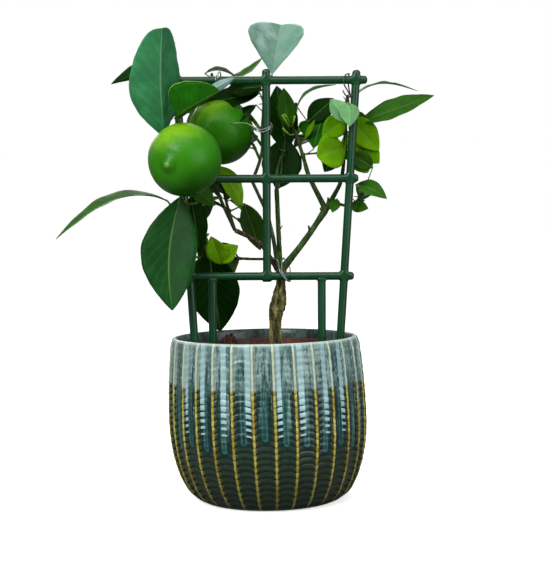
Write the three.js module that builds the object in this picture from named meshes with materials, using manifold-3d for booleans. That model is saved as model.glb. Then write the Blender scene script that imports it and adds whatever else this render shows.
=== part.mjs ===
// A young Meyer lemon tree in a ribbed ceramic pot, tied to a small moulded trellis.
// Millimetres, +Z up, +Y away from the front. The origin is the centre of the pot's flat underside.
// Headings are degrees round +Z from +X, rises are degrees above the level.
import * as THREE from "three";
import { mergeVertices } from "three/addons/utils/BufferGeometryUtils.js";
import Module from "manifold-3d";

const wasm = await Module();
wasm.setup();

// Driving dimensions
const POT = {
  height: 117,
  foot: 45,
  belt: 69.8,
  beltHeight: 58,
  shoulderDrop: 3.75,
  lean: 0.02,
  wall: 5,
  floor: 6,
  ribs: 30,
  ribStart: -85.4,
  ribHeight: 1.3,
  ribHalf: 0.1,
};
const GROWER = { foot: 46.5, brim: 57.5, brimHeight: 103, lip: 59.5, lipHeight: 110, wall: 1.5 };
const SOIL = { top: 103, clear: 0.3 };
const BARK = { place: [-28, 40], size: [12, 9, 12], knobs: 0.12, sunk: 0.4 };
const TRELLIS = {
  depth: -8,
  middle: 0.3,
  rod: 2.8,
  lean: 0.71,
  leanFrom: 164,
  halfAt: 118,
  half: 52,
  splay: 0.0623,
  bars: [160, 229, 298],
  nubs: [7, 6, 8],
  legHalf: 38.7,
  legFoot: 55,
  postFoot: 92,
  postTop: 305,
  sides: 10,
};
const WIRE = { radius: 0.45, loop: 3.9 };
const GAP = 0.3;

const radians = THREE.MathUtils.degToRad;
const vector = (x, y, z) => new THREE.Vector3(x, y, z);

function toward(heading, rise, length) {
  const level = Math.cos(radians(rise)) * length;
  return vector(
    level * Math.cos(radians(heading)),
    level * Math.sin(radians(heading)),
    length * Math.sin(radians(rise)),
  );
}

// Closed surfaces from rings of points

function closedRings(rings, closeEnds) {
  const points = rings.flat();
  const columns = rings[0].length;
  const faces = [];
  rings.slice(1).forEach((ring, row) => {
    for (let column = 0; column < columns; column += 1) {
      const a = row * columns + column;
      const b = row * columns + ((column + 1) % columns);
      faces.push(a, b, b + columns, a, b + columns, a + columns);
    }
  });
  if (closeEnds) {
    const last = (rings.length - 1) * columns;
    for (let column = 1; column < columns - 1; column += 1) {
      faces.push(0, column + 1, column);
      faces.push(last, last + column, last + column + 1);
    }
  }
  const geometry = new THREE.BufferGeometry().setFromPoints(points);
  geometry.setIndex(faces);
  return geometry;
}

function solidOf(geometry) {
  const bare = geometry.clone();
  bare.deleteAttribute("normal");
  bare.deleteAttribute("uv");
  const merged = mergeVertices(bare, 1e-4);
  const mesh = new wasm.Mesh({
    numProp: 3,
    vertProperties: new Float32Array(merged.attributes.position.array),
    triVerts: new Uint32Array(merged.index.array),
  });
  return new wasm.Manifold(mesh);
}

function geometryOf(solid) {
  const mesh = solid.getMesh();
  const geometry = new THREE.BufferGeometry();
  geometry.setAttribute("position", new THREE.BufferAttribute(mesh.vertProperties, 3));
  geometry.setIndex(new THREE.BufferAttribute(mesh.triVerts, 1));
  return geometry;
}

// The largest piece of a solid, without sealed hollows or loose scraps.
function wholePiece(solid) {
  const pieces = solid.decompose().sort((a, b) => b.volume() - a.volume());
  return pieces[0];
}

// A ring of points round the Z axis for each [radius, height], columns given as headings.
function turned(profile, headings, grow) {
  const rings = profile.map(([radius, height]) =>
    headings.map((heading, column) => {
      const reach = radius + (grow ? grow(column, radius, height) : 0);
      return toward(heading, 0, reach).setZ(height);
    }),
  );
  return closedRings(rings, true);
}

const evenly = (count, start = 0) =>
  Array.from({ length: count }, (_, step) => start + (360 * step) / count);

// Routes: a start and legs of [heading, rise, length], rounded off at the corners

function cornersOf(start, legs) {
  const corners = [start.clone()];
  legs.forEach(([heading, rise, length]) => {
    corners.push(corners.at(-1).clone().add(toward(heading, rise, length)));
  });
  return corners;
}

function smooth(corners, steps) {
  const count = corners.length;
  const corner = (index) => {
    if (index < 0) return corners[0].clone().multiplyScalar(2).sub(corners[1]);
    if (index >= count) return corners[count - 1].clone().multiplyScalar(2).sub(corners[count - 2]);
    return corners[index];
  };
  const points = [];
  for (let leg = 0; leg < count - 1; leg += 1) {
    for (let step = 0; step < steps; step += 1) {
      const t = step / steps;
      const [a, b, c, d] = [corner(leg - 1), corner(leg), corner(leg + 1), corner(leg + 2)];
      const point = b.clone().multiplyScalar(2);
      point.addScaledVector(c.clone().sub(a), t);
      point.addScaledVector(
        a.clone().multiplyScalar(2).addScaledVector(b, -5).addScaledVector(c, 4).sub(d),
        t * t,
      );
      point.addScaledVector(
        b.clone().multiplyScalar(3).sub(a).addScaledVector(c, -3).add(d),
        t * t * t,
      );
      points.push(point.multiplyScalar(0.5));
    }
  }
  points.push(corners[count - 1].clone());
  return points;
}

function lengthsOf(points) {
  const lengths = [0];
  points.slice(1).forEach((point, step) => {
    lengths.push(lengths[step] + point.distanceTo(points[step]));
  });
  return lengths;
}

function along(points, fraction) {
  const lengths = lengthsOf(points);
  const wanted = fraction * lengths.at(-1);
  let step = 1;
  while (step < points.length - 1 && lengths[step] < wanted) step += 1;
  const part = (wanted - lengths[step - 1]) / (lengths[step] - lengths[step - 1]);
  return points[step - 1].clone().lerp(points[step], part);
}

// A radius at a fraction of the length, from [fraction, radius] pairs.
function girthAt(girth, fraction) {
  let step = 1;
  while (step < girth.length - 1 && girth[step][0] < fraction) step += 1;
  const [[f0, r0], [f1, r1]] = [girth[step - 1], girth[step]];
  return r0 + ((r1 - r0) * (fraction - f0)) / (f1 - f0);
}

function tube(points, girth, sides, extra = 0) {
  const lengths = lengthsOf(points);
  const path = points.map((point) => point.clone());
  const headward = path[1].clone().sub(path[0]).normalize();
  const tailward = path.at(-1).clone().sub(path.at(-2)).normalize();
  path[0].addScaledVector(headward, -extra);
  path.at(-1).addScaledVector(tailward, extra);
  let side = vector(0, 1, 0).cross(headward);
  if (side.length() < 0.1) side = vector(1, 0, 0).cross(headward);
  const rings = path.map((point, step) => {
    const before = path[Math.max(step - 1, 0)];
    const after = path[Math.min(step + 1, path.length - 1)];
    const ahead = after.clone().sub(before).normalize();
    side.addScaledVector(ahead, -side.dot(ahead)).normalize();
    const up = ahead.clone().cross(side);
    const radius = girthAt(girth, lengths[step] / lengths.at(-1)) + extra;
    return evenly(sides).map((turn) => {
      const across = side.clone().multiplyScalar(radius * Math.cos(radians(turn)));
      return point.clone().add(across).addScaledVector(up, radius * Math.sin(radians(turn)));
    });
  });
  return closedRings(rings, true);
}

// Pot, grower's pot, soil and bark

function potGeometry() {
  const outer = (height) => {
    const low = Math.max(1 - height / POT.beltHeight, 0);
    const high = Math.max(height - POT.beltHeight, 0) / (POT.height - POT.beltHeight);
    const bowl = POT.foot + (POT.belt - POT.foot) * Math.sqrt(1 - low * low);
    return bowl - POT.shoulderDrop * high * high;
  };
  const lip = outer(POT.height);
  const outside = [3, 11, 25, 42, 62, 92].map((height) => [outer(height), height]);
  const brim = [
    [lip, POT.height - 1.5],
    [lip - 1.5, POT.height],
    [lip - 3.5, POT.height],
  ];
  const inside = [60, 24].map((height) => [outer(height) - POT.wall, height]);
  const floor = [
    [outer(POT.floor) - POT.wall - 2, POT.floor],
    [1, POT.floor],
  ];
  const profile = [[1, 0], [POT.foot, 0], ...outside, ...brim, ...inside, ...floor];
  const pitch = 360 / POT.ribs;
  const offsets = [-POT.ribHalf, 0, POT.ribHalf].map((part) => part * pitch);
  const headings = evenly(POT.ribs, POT.ribStart).flatMap((heading) =>
    offsets.map((offset) => heading + offset),
  );
  const outerRings = new Set([...outside, ...brim.slice(0, 1)].map(([radius]) => radius));
  const rib = (column, radius) =>
    column % offsets.length === 1 && outerRings.has(radius) ? POT.ribHeight : 0;
  const lean = new THREE.Matrix4().makeShear(0, 0, 0, 0, -POT.lean, 0);
  return turned(profile, headings, rib).applyMatrix4(lean);
}

const GROWER_FLOOR = POT.floor + GAP;

function growerGeometry() {
  const { foot, brim, brimHeight, lip, lipHeight, wall } = GROWER;
  const profile = [
    [1, GROWER_FLOOR],
    [foot, GROWER_FLOOR],
    [brim, brimHeight],
    [lip, brimHeight],
    [lip, lipHeight],
    [lip - wall, lipHeight],
    [brim - wall, brimHeight - wall],
    [foot - wall, GROWER_FLOOR + wall],
    [1, GROWER_FLOOR + wall],
  ];
  return turned(profile, evenly(30));
}

function soilGeometry(feet) {
  const { foot, brim, brimHeight, wall } = GROWER;
  const bottom = GROWER_FLOOR + wall + SOIL.clear;
  const slope = (brim - foot) / (brimHeight - GROWER_FLOOR);
  const radiusAt = (height) => foot - wall - 2 * SOIL.clear + slope * (height - GROWER_FLOOR - wall);
  const shoulder = brimHeight - wall - SOIL.clear;
  const profile = [
    [1, bottom],
    [radiusAt(bottom), bottom],
    [radiusAt(shoulder), shoulder],
    [radiusAt(shoulder), SOIL.top],
    [1, SOIL.top],
  ];
  let soil = solidOf(turned(profile, evenly(30)));
  feet.forEach((rod) => {
    soil = soil.subtract(solidOf(rod));
  });
  return geometryOf(soil);
}

function barkGeometry() {
  const [width, depth, height] = BARK.size;
  const lump = new THREE.IcosahedronGeometry(0.5, 1);
  lump.scale(width, depth, height);
  const place = lump.getAttribute("position");
  for (let index = 0; index < place.count; index += 1) {
    const point = vector().fromBufferAttribute(place, index);
    point.multiplyScalar(1 + BARK.knobs * Math.sin(point.x * 1.7) * Math.cos(point.z * 1.3));
    place.setXYZ(index, point.x, point.y, Math.max(point.z, -height * BARK.sunk));
  }
  const [across, away] = BARK.place;
  lump.translate(across, away, SOIL.top + GAP + height * BARK.sunk);
  return geometryOf(solidOf(lump));
}

// Trellis: rods of one moulding, parted where they meet

const halfAt = (height) => TRELLIS.half + TRELLIS.splay * (height - TRELLIS.halfAt);

function onTrellis(across, height) {
  const shift = Math.tan(radians(TRELLIS.lean)) * (height - TRELLIS.leanFrom);
  const sink = Math.sin(radians(TRELLIS.lean)) * across;
  return vector(TRELLIS.middle + across + shift, TRELLIS.depth, height - sink);
}

function rod(from, to, fat = 0) {
  const span = to.clone().sub(from);
  const radius = TRELLIS.rod + fat;
  const bar = new THREE.CylinderGeometry(radius, radius, span.length() + 2 * fat, TRELLIS.sides);
  const turn = new THREE.Quaternion().setFromUnitVectors(vector(0, 1, 0), span.normalize());
  const middle = from.clone().lerp(to, 0.5);
  return bar.applyQuaternion(turn).translate(middle.x, middle.y, middle.z);
}

function rodsOfTrellis() {
  const { bars, nubs, postFoot, postTop, legHalf, legFoot, rod: thick } = TRELLIS;
  const rods = {};
  const feet = [];
  const lines = [];
  for (const [name, side] of [["left", -1], ["right", 1]]) {
    const foot = onTrellis(side * halfAt(postFoot), postFoot);
    const top = onTrellis(side * halfAt(postTop), postTop);
    lines.push({ points: [foot, top], radius: thick });
    let post = solidOf(rod(foot, top));
    bars.forEach((height, row) => {
      const edge = halfAt(height);
      const nub = rod(onTrellis(side * edge, height), onTrellis(side * (edge + nubs[row]), height));
      post = post.add(solidOf(nub));
    });
    rods[`trellis_post_${name}`] = geometryOf(post);
    const legTop = bars[0] - thick - GAP;
    const legLow = onTrellis(side * legHalf, legFoot);
    rods[`trellis_leg_${name}`] = rod(legLow, onTrellis(side * legHalf, legTop));
    feet.push(rod(foot, onTrellis(side * halfAt(SOIL.top + 20), SOIL.top + 20), GAP));
    feet.push(rod(legLow, onTrellis(side * legHalf, SOIL.top + 20), GAP));
    bars.forEach((height, row) => {
      const inner = thick + GAP;
      const outer = halfAt(height) - thick - GAP;
      const ends = [onTrellis(side * inner, height), onTrellis(side * outer, height)];
      lines.push({ points: ends, radius: thick });
      rods[`trellis_bar_${["low", "middle", "top"][row]}_${name}`] = rod(...ends);
    });
  }
  const middle = [onTrellis(0, bars[0] - thick), onTrellis(0, postTop + 1)];
  lines.push({ points: middle, radius: thick });
  rods.trellis_post_centre = rod(...middle);
  return { rods, feet, lines };
}

// Twist ties: loops of thin wire round a rod
function tieGeometry(place, axis, turns, tilt) {
  const points = [];
  const steps = turns * 9;
  for (let step = 0; step <= steps; step += 1) {
    const turn = (step / steps) * turns * 360;
    const around = toward(turn, 0, WIRE.loop);
    around.z = (step / steps - 0.5) * turns * WIRE.radius * 3;
    points.push(around);
  }
  const girth = [
    [0, WIRE.radius],
    [1, WIRE.radius],
  ];
  const loop = tube(points, girth, 4);
  const spin = new THREE.Quaternion().setFromUnitVectors(vector(0, 0, 1), axis.clone().normalize());
  loop.rotateY(radians(tilt)).applyQuaternion(spin).translate(place.x, place.y, place.z);
  return loop;
}

// Trunk and boughs
const LIMBS = {
  trunk: {
    foot: [6, 2, SOIL.top + GAP],
    legs: [[180, 89, 26], [0, 78, 11], [0, 81, 13], [60, 85, 13]],
    girth: [[0, 5.4], [0.1, 4.4], [0.38, 4.2], [0.54, 5.7], [0.64, 5.2], [0.8, 3.4], [1, 3.7]],
    sides: 12,
  },
  bough_right: {
    foot: [10.7, 3, 164],
    legs: [[10, 50, 27], [14, 54, 27]],
    girth: [[0, 2.9], [0.3, 2.2], [0.8, 2.1], [1, 2.7]],
  },
  bough_centre: {
    foot: [9.6, 4, 165],
    legs: [[96, 77, 35], [109, 85, 23]],
    girth: [[0, 2.1], [0.3, 1.7], [1, 1.7]],
  },
  bough_middle: {
    foot: [8.5, 3, 165],
    legs: [[145, 78, 34], [165, 68, 21], [168, 65, 11]],
    girth: [[0, 2], [0.4, 1.3], [1, 1.2]],
  },
  bough_left: {
    foot: [8, 5, 164],
    legs: [[163, 57, 13], [147, 49, 11], [161, 28, 14], [162, 24, 7]],
    girth: [[0, 2], [0.4, 1.6], [1, 1.7]],
  },
  bough_right_inner: {
    from: "bough_right",
    legs: [[160, 63, 26], [147, 71, 12]],
    girth: [[0, 2], [1, 1.5]],
  },
  bough_right_outer: {
    from: "bough_right",
    legs: [[338, 58, 20], [325, 74, 13]],
    girth: [[0, 1.9], [0.5, 1.5], [1, 1.4]],
  },
};

function growLimbs() {
  const limbs = {};
  Object.entries(LIMBS).forEach(([name, limb]) => {
    const start = limb.from ? limbs[limb.from].points.at(-1) : vector(...limb.foot);
    const points = smooth(cornersOf(start, limb.legs), limb.sides ? 3 : 2);
    const sides = limb.sides ?? 6;
    let solid = solidOf(tube(points, limb.girth, sides));
    Object.values(limbs).forEach((other) => {
      solid = solid.subtract(other.fat);
    });
    limbs[name] = {
      points,
      girth: limb.girth,
      solid: wholePiece(solid),
      fat: solidOf(tube(points, limb.girth, sides, GAP)),
    };
  });
  return limbs;
}

const LEAF = {
  widest: 0.45,
  full: 0.85,
  archPeak: 0.42,
  tip: 0.004,
  stalk: 0.9,
  sunk: 0.06,
  slender: 60,
  least: 1,
  long: 60,
  stations: [4, 6],
};

// Leaves. A leaf has its place on its twig, a stalk and a blade of [heading, rise, length], a width,
// and how far the blade arches up, sways aside, rolls about its length, and folds along its midrib.
const leaf = (at, stalk, blade, width, shape = {}) => ({
  at,
  stalk,
  blade,
  width,
  arch: 0,
  sway: 0,
  roll: 0,
  fold: 12,
  widest: LEAF.widest,
  full: LEAF.full,
  taper: 0,
  ...shape,
});

// The outline: a sine whose top is moved to the widest place, and made blunter by a lower power.
// A taper lowers the power towards the tip and raises it towards the base.
function halfWidth({ width, widest, full, taper }, u) {
  const skew = Math.log(0.5) / Math.log(widest);
  const power = full * (1 + taper * (0.5 - u));
  return (width / 2) * Math.sin(Math.PI * u ** skew) ** power;
}

function bladeFrame(base, spec) {
  const [heading, rise, length] = spec.blade;
  const chord = toward(heading, rise, 1);
  const level = chord.clone().cross(vector(0, 0, 1)).normalize();
  const above = level.clone().cross(chord);
  const roll = radians(spec.roll);
  const face = above.clone().multiplyScalar(Math.cos(roll)).addScaledVector(level, Math.sin(roll));
  const side = level.multiplyScalar(Math.cos(roll)).addScaledVector(above, -Math.sin(roll));
  return { base, chord, face, side, length, ...spec };
}

// A point of the blade: u along it from 0 to 1, v across it from -1 to 1.
function bladePoint(frame, u, v) {
  const skew = Math.log(0.5) / Math.log(LEAF.archPeak);
  const wide = halfWidth(frame, u) * v;
  const fold = radians(frame.fold);
  return frame.base
    .clone()
    .addScaledVector(frame.chord, frame.length * u)
    .addScaledVector(frame.face, frame.arch * Math.sin(Math.PI * u ** skew))
    .addScaledVector(frame.side, frame.sway * Math.sin(Math.PI * u) + wide * Math.cos(fold))
    .addScaledVector(frame.face, Math.abs(wide) * Math.sin(fold));
}

function bladeGeometry(frame) {
  const thick = Math.max(LEAF.least, frame.length / LEAF.slender) / 2;
  const stations = LEAF.stations[frame.length > LEAF.long ? 1 : 0];
  const rings = [];
  for (let station = 0; station <= stations; station += 1) {
    const u = LEAF.tip + ((1 - 2 * LEAF.tip) * station) / stations;
    const thin = thick * (1 - 0.5 * u);
    const middle = bladePoint(frame, u, 0);
    rings.push([
      bladePoint(frame, u, 1),
      middle.clone().addScaledVector(frame.face, -thin),
      bladePoint(frame, u, -1),
      middle.clone().addScaledVector(frame.face, thin),
    ]);
  }
  return closedRings(rings, true);
}

function stalkGeometry(frame, foot) {
  const into = bladePoint(frame, LEAF.sunk, 0);
  const girth = [
    [0, LEAF.stalk],
    [1, LEAF.stalk * 0.8],
  ];
  return tube([foot, frame.base, into], girth, 3);
}

// Fruit: a ball with a small nipple at the end away from its stalk
const FRUIT = { rows: 8, columns: 12, pole: 0.06, nipple: 0.05, narrow: 0.3, stalk: 1.4 };

function fruitGeometry(centre, radius, axis) {
  const profile = [];
  for (let row = 0; row <= FRUIT.rows; row += 1) {
    const turn = FRUIT.pole + ((Math.PI - 2 * FRUIT.pole) * row) / FRUIT.rows;
    const reach = radius * (1 + FRUIT.nipple * Math.exp(-(((Math.PI - turn) / FRUIT.narrow) ** 2)));
    profile.push([reach * Math.sin(turn), -reach * Math.cos(turn)]);
  }
  const fruit = turned(profile, evenly(FRUIT.columns));
  const spin = new THREE.Quaternion().setFromUnitVectors(vector(0, 0, 1), axis);
  return fruit.applyQuaternion(spin).translate(centre.x, centre.y, centre.z);
}

const TALL_LEAF = { roll: 212, fold: -22, sway: -2, widest: 0.5, full: 0.72, taper: 1 };
const FOLDED_LEAF = { roll: 50, fold: 42, widest: 0.25, full: 0.55 };

// Masses of foliage. Each grows from one stem on its bough's tip or the trunk.
const MASSES = {
  foliage_left: {
    seed: 11,
    twigs: {
      stem: {
        from: "bough_left",
        legs: [[206, 64, 21], [210, 65, 19], [231, 47, 21], [236, 52, 18], [201, 35, 10]],
        girth: [[0, 1.3], [1, 1]],
      },
      low: { on: "stem", at: 0.3, legs: [[232, -10, 18], [223, -7, 16], [180, -6, 10]] },
      top: {
        on: "stem",
        at: 0.86,
        legs: [[104, 58, 15], [37, 63, 11], [8, 52, 11], [8, 49, 11], [180, 87, 9]],
      },
    },
    leaves: {
      stem: [
        leaf(1, [208, -33, 12], [274, 70, 78], 44, TALL_LEAF),
        leaf(0.93, [261, 29, 21], [343, 30, 35], 43, FOLDED_LEAF),
        leaf(0.93, [355, 62, 32], [344, 25, 24], 7, { roll: -70 }),
        leaf(0.3, [186, 3, 21], [60, -75, 43], 20, { roll: 110 }),
        leaf(0.45, [219, -7, 21], [3, -41, 24], 16, { roll: 60 }),
      ],
      low: [
        leaf(1, [196, 44, 6], [196, -18, 82], 22, { roll: -12, arch: 13 }),
        leaf(0.75, [228, 39, 9], [250, -77, 81], 40, { roll: -15, fold: 8, sway: 5, widest: 0.5 }),
      ],
      top: [
        leaf(0.75, [160, 22, 25], [174, -2, 49], 20, { arch: 10, roll: 30 }),
        leaf(0.94, [190, 30, 6], [10, -8, 24], 12, { arch: 4, roll: 20 }),
        leaf(0.9, [27, 14, 13], [14, 29, 29], 12, { arch: -4, roll: 20 }),
      ],
    },
    fruit: [{ on: "stem", at: 0.55, stalk: [268, 24, 24], radius: 25.2, to: [239, -7] }],
  },
  foliage_left_inner: {
    seed: 23,
    twigs: {
      stem: {
        from: "bough_left",
        legs: [[150, 71, 19], [156, 76, 19], [151, 66, 10]],
        girth: [[0, 1.2], [1, 0.9]],
      },
    },
    leaves: {
      stem: [
        leaf(1, [177, 45, 2], [6, -59, 38], 18, { roll: 55, arch: 5 }),
        leaf(0.3, [31, 23, 14], [0, -72, 36], 18, { roll: 70 }),
      ],
    },
  },
  foliage_low: {
    seed: 37,
    twigs: {
      stem: {
        foot: [7, 6, 171.9],
        legs: [[160, -1, 17], [159, 5, 17], [166, 18, 22]],
        girth: [[0, 1], [1, 0.9]],
      },
    },
    leaves: {
      stem: [
        leaf(0.7, [249, -39, 10], [235, 59, 24], 16, { roll: 211 }),
        leaf(0.76, [252, -34, 9], [344, 36, 19], 15, { roll: 75 }),
        leaf(1, [20, -12, 3], [0, -83, 61], 38, { roll: 90, widest: 0.5 }),
      ],
    },
  },
  foliage_top: {
    seed: 41,
    twigs: {
      stem: {
        from: "bough_middle",
        legs: [[329, 64, 13], [333, 74, 12], [281, 88, 14], [21, 83, 22], [337, 78, 12]],
        girth: [[0, 1.2], [1, 1]],
      },
    },
    leaves: {
      stem: [
        leaf(1, [358, 56, 5], [285, 50, 42], 46, { roll: -5, fold: 30, widest: 0.7, full: 0.55 }),
        leaf(0.85, [139, 69, 8], [167, -4, 27], 20, { roll: -50 }),
        leaf(0.75, [112, 74, 13], [144, -22, 24], 18, { roll: -40 }),
      ],
    },
    fruit: [{ on: "stem", at: 0.5, stalk: [125, 38, 24], radius: 24.3, to: [180, -33] }],
  },
  foliage_centre: {
    seed: 53,
    twigs: {
      stem: {
        from: "bough_centre",
        legs: [[79, 77, 14], [31, 67, 15]],
        girth: [[0, 1.4], [1, 1]],
      },
    },
    leaves: {
      stem: [
        leaf(0.3, [12, -78, 8], [63, 73, 39], 30, { roll: 26 }),
        leaf(1, [70, 11, 6], [133, 79, 48], 24, { roll: -43 }),
      ],
    },
  },
  foliage_right_inner: {
    seed: 67,
    twigs: {
      stem: {
        from: "bough_right_inner",
        legs: [[147, 71, 21], [150, 62, 8], [32, 77, 9], [333, 74, 8]],
        girth: [[0, 1.4], [1, 0.9]],
      },
    },
    leaves: {
      stem: [
        leaf(0.72, [241, -49, 8], [235, 78, 29], 14, { roll: 214 }),
        leaf(0.88, [300, -30, 3], [12, 33, 36], 9, { roll: -15, arch: 7 }),
        leaf(0.96, [13, -53, 15], [22, 39, 27], 17, { roll: 70 }),
        leaf(0.1, [350, 32, 9], [60, 59, 25], 30, { roll: 15, widest: 0.7, full: 0.6 }),
      ],
    },
  },
  foliage_right: {
    seed: 71,
    twigs: {
      stem: {
        from: "bough_right_outer",
        legs: [[320, 84, 16], [0, 86, 16], [326, 85, 19]],
        girth: [[0, 1.3], [1, 1]],
      },
    },
    leaves: {
      stem: [
        leaf(0.7, [253, -16, 4], [197, -34, 21], 17, { roll: -85 }),
        leaf(0.5, [261, -66, 12], [196, -17, 22], 26, { roll: -80, widest: 0.5, full: 0.7 }),
        leaf(0.3, [146, -22, 6], [196, -56, 19], 14, { roll: -70 }),
        leaf(0.7, [7, -4, 3], [354, -50, 31], 20, { roll: 80 }),
        leaf(0.45, [5, -12, 5], [359, -45, 27], 20, { roll: 80 }),
        leaf(0.3, [24, -6, 5], [5, -57, 22], 18, { roll: 80, full: 0.7 }),
        leaf(0.92, [271, -8, 15], [270, -62, 19], 15, { fold: 20 }),
        leaf(0.92, [270, -37, 26], [151, 49, 22], 15, { roll: -50 }),
        leaf(0.8, [14, -38, 13], [341, 17, 56], 19, { roll: 55 }),
        leaf(1, [34, -5, 6], [27, 6, 54], 8, { arch: 8, roll: -5, widest: 0.3 }),
      ],
    },
  },
  foliage_right_low: {
    seed: 89,
    twigs: {
      stem: {
        from: "bough_right",
        legs: [[338, 18, 11], [347, -7, 9], [0, 48, 12]],
        girth: [[0, 1.2], [1, 0.9]],
      },
    },
    leaves: {
      stem: [
        leaf(1, [322, 64, 20], [188, 33, 20], 14, { roll: -90 }),
        leaf(0.9, [180, 72, 9], [323, -22, 28], 14, { arch: 3, roll: 40 }),
        leaf(0.6, [96, 48, 1], [335, -12, 14], 10, { roll: 70 }),
        leaf(0.2, [329, 60, 6], [243, -48, 13], 8, { roll: -25 }),
      ],
    },
  },
};

const TWIG = { sides: 4, steps: 2, room: 1.4 };
const TWIG_GIRTH = [
  [0, 1.1],
  [1, 0.9],
];

// Back twigs. A seeded rule fills each mass behind what its front shows. A twig or leaf is left out
// if it would leave the space, touch a limb, a rod or another mass, or show in a gap of the front.
const BACK = {
  tries: 300,
  twigs: 2,
  at: [0.15, 1],
  heading: [50, 130],
  rise: [-15, 50],
  length: [12, 28],
  places: [[0.5, -1], [0.75, 1], [1, 0]],
  spread: 50,
  stalk: [10, 5],
  leafRise: [-45, 20],
  leafLength: [38, 56],
  leafWidth: 0.44,
  roll: [-30, 30],
  arch: 5,
  limb: 4,
  clear: 2.5,
  leafClear: 7,
  hidden: 0.85,
  space: { front: 0, back: 72, low: 125, high: 335 },
  eye: [4, -1000, 206],
};

// A repeatable run of numbers, each between a low and a high.
function seeded(seed) {
  const turns = 2 ** 32;
  let state = seed;
  return ([low, high]) => {
    state = (state * 1664525 + 1013904223) % turns;
    return low + ((high - low) * state) / turns;
  };
}

function gapTo(point, { points, radius }) {
  const gaps = points.slice(1).map((end, step) => {
    const nearest = new THREE.Line3(points[step], end).closestPointToPoint(point, true, vector());
    return nearest.distanceTo(point) - radius;
  });
  return Math.min(...gaps);
}

function spotsOf(frame) {
  const spots = [];
  for (const u of [0, 0.25, 0.5, 0.75, 1]) {
    for (const v of [-1, 0, 1]) spots.push(bladePoint(frame, u, v));
  }
  return spots;
}

// Whether a leaf or fruit of the front stands between the eye and a point.
function covers(item, eye, point) {
  const sight = point.clone().sub(eye);
  if (item.centre) {
    const nearest = new THREE.Line3(eye, point).closestPointToPoint(item.centre, true, vector());
    return nearest.distanceTo(item.centre) < item.radius;
  }
  const part = item.base.clone().sub(eye).dot(item.face) / sight.dot(item.face);
  if (part < 0 || part > 1) return false;
  const hit = eye.clone().addScaledVector(sight, part).sub(item.base);
  const u = hit.dot(item.chord) / item.length;
  return u > 0 && u < 1 && Math.abs(hit.dot(item.side)) < halfWidth(item, u);
}

function growBack(mass, others, sticks, shade) {
  const { space, eye: place } = BACK;
  const pick = seeded(mass.seed);
  const eye = vector(...place);
  const inside = (point) =>
    point.y > space.front && point.y < space.back && point.z > space.low && point.z < space.high;
  const clear = (point) =>
    inside(point) &&
    sticks.every((stick) => gapTo(point, stick) > BACK.clear) &&
    others.every((spot) => spot.distanceTo(point) > BACK.leafClear);
  const kept = [];
  for (let go = 0; go < BACK.tries && kept.length < BACK.twigs; go += 1) {
    const foot = along(mass.routes.stem.points, pick(BACK.at));
    const heading = pick(BACK.heading);
    const points = cornersOf(foot, [[heading, pick(BACK.rise), pick(BACK.length)]]);
    const blades = BACK.places.map(([at, hand]) => {
      const way = heading + hand * BACK.spread;
      const length = pick(BACK.leafLength);
      const blade = [way, pick(BACK.leafRise), length];
      const shape = { roll: pick(BACK.roll), arch: BACK.arch };
      const spec = leaf(at, [way, ...BACK.stalk], blade, length * BACK.leafWidth, shape);
      const root = along(points, at);
      return { foot: root, frame: bladeFrame(root.clone().add(toward(...spec.stalk)), spec) };
    });
    const grown = blades.filter(({ frame }) => {
      const spots = spotsOf(frame);
      const hidden = spots.filter((point) => shade.some((item) => covers(item, eye, point)));
      return spots.every(clear) && hidden.length > BACK.hidden * spots.length;
    });
    const free = [0.5, 0.75, 1].every((part) => clear(along(points, part)));
    if (free && grown.length > 1) kept.push({ points, blades: grown });
  }
  return kept;
}

function growMass(mass, limbs) {
  const routes = {};
  Object.entries(mass.twigs).forEach(([name, twig]) => {
    let start;
    if (twig.on) start = along(routes[twig.on].points, twig.at);
    else if (twig.from) start = limbs[twig.from].points.at(-1);
    else start = vector(...twig.foot);
    routes[name] = {
      points: smooth(cornersOf(start, twig.legs), TWIG.steps),
      girth: twig.girth ?? TWIG_GIRTH,
    };
  });
  const blades = Object.entries(mass.leaves).flatMap(([name, leaves]) =>
    leaves.map((spec) => {
      const foot = along(routes[name].points, spec.at);
      return { foot, frame: bladeFrame(foot.clone().add(toward(...spec.stalk)), spec) };
    }),
  );
  const fruit = (mass.fruit ?? []).map(({ on, at, stalk, radius, to }) => {
    const foot = along(routes[on].points, at);
    const end = foot.clone().add(toward(...stalk));
    const axis = toward(...to, 1);
    return { foot, end, axis, radius, centre: end.clone().addScaledVector(axis, radius - 1) };
  });
  return { seed: mass.seed, routes, blades, fruit };
}

function growMasses(limbs, rodLines) {
  const grown = {};
  Object.entries(MASSES).forEach(([name, mass]) => {
    grown[name] = growMass(mass, limbs);
  });
  const all = Object.values(grown);
  const shade = all.flatMap((mass) => [...mass.blades.map(({ frame }) => frame), ...mass.fruit]);
  const limbLines = Object.values(limbs).map((limb) => ({ points: limb.points, radius: BACK.limb }));
  all.forEach((mass) => {
    const rest = all.filter((other) => other !== mass);
    const others = rest.flatMap((other) => other.blades.flatMap(({ frame }) => spotsOf(frame)));
    const twigs = rest.flatMap((other) =>
      Object.values(other.routes).map(({ points }) => ({ points, radius: TWIG.room })),
    );
    const fruit = rest.flatMap((other) =>
      other.fruit.map(({ centre, radius }) => ({ points: [centre, centre], radius })),
    );
    mass.back = growBack(mass, others, [...limbLines, ...rodLines, ...twigs, ...fruit], shade);
    mass.back.forEach((twig, step) => {
      mass.routes[`back_${step}`] = { points: twig.points, girth: TWIG_GIRTH };
      mass.blades.push(...twig.blades);
    });
  });
  return grown;
}

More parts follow.
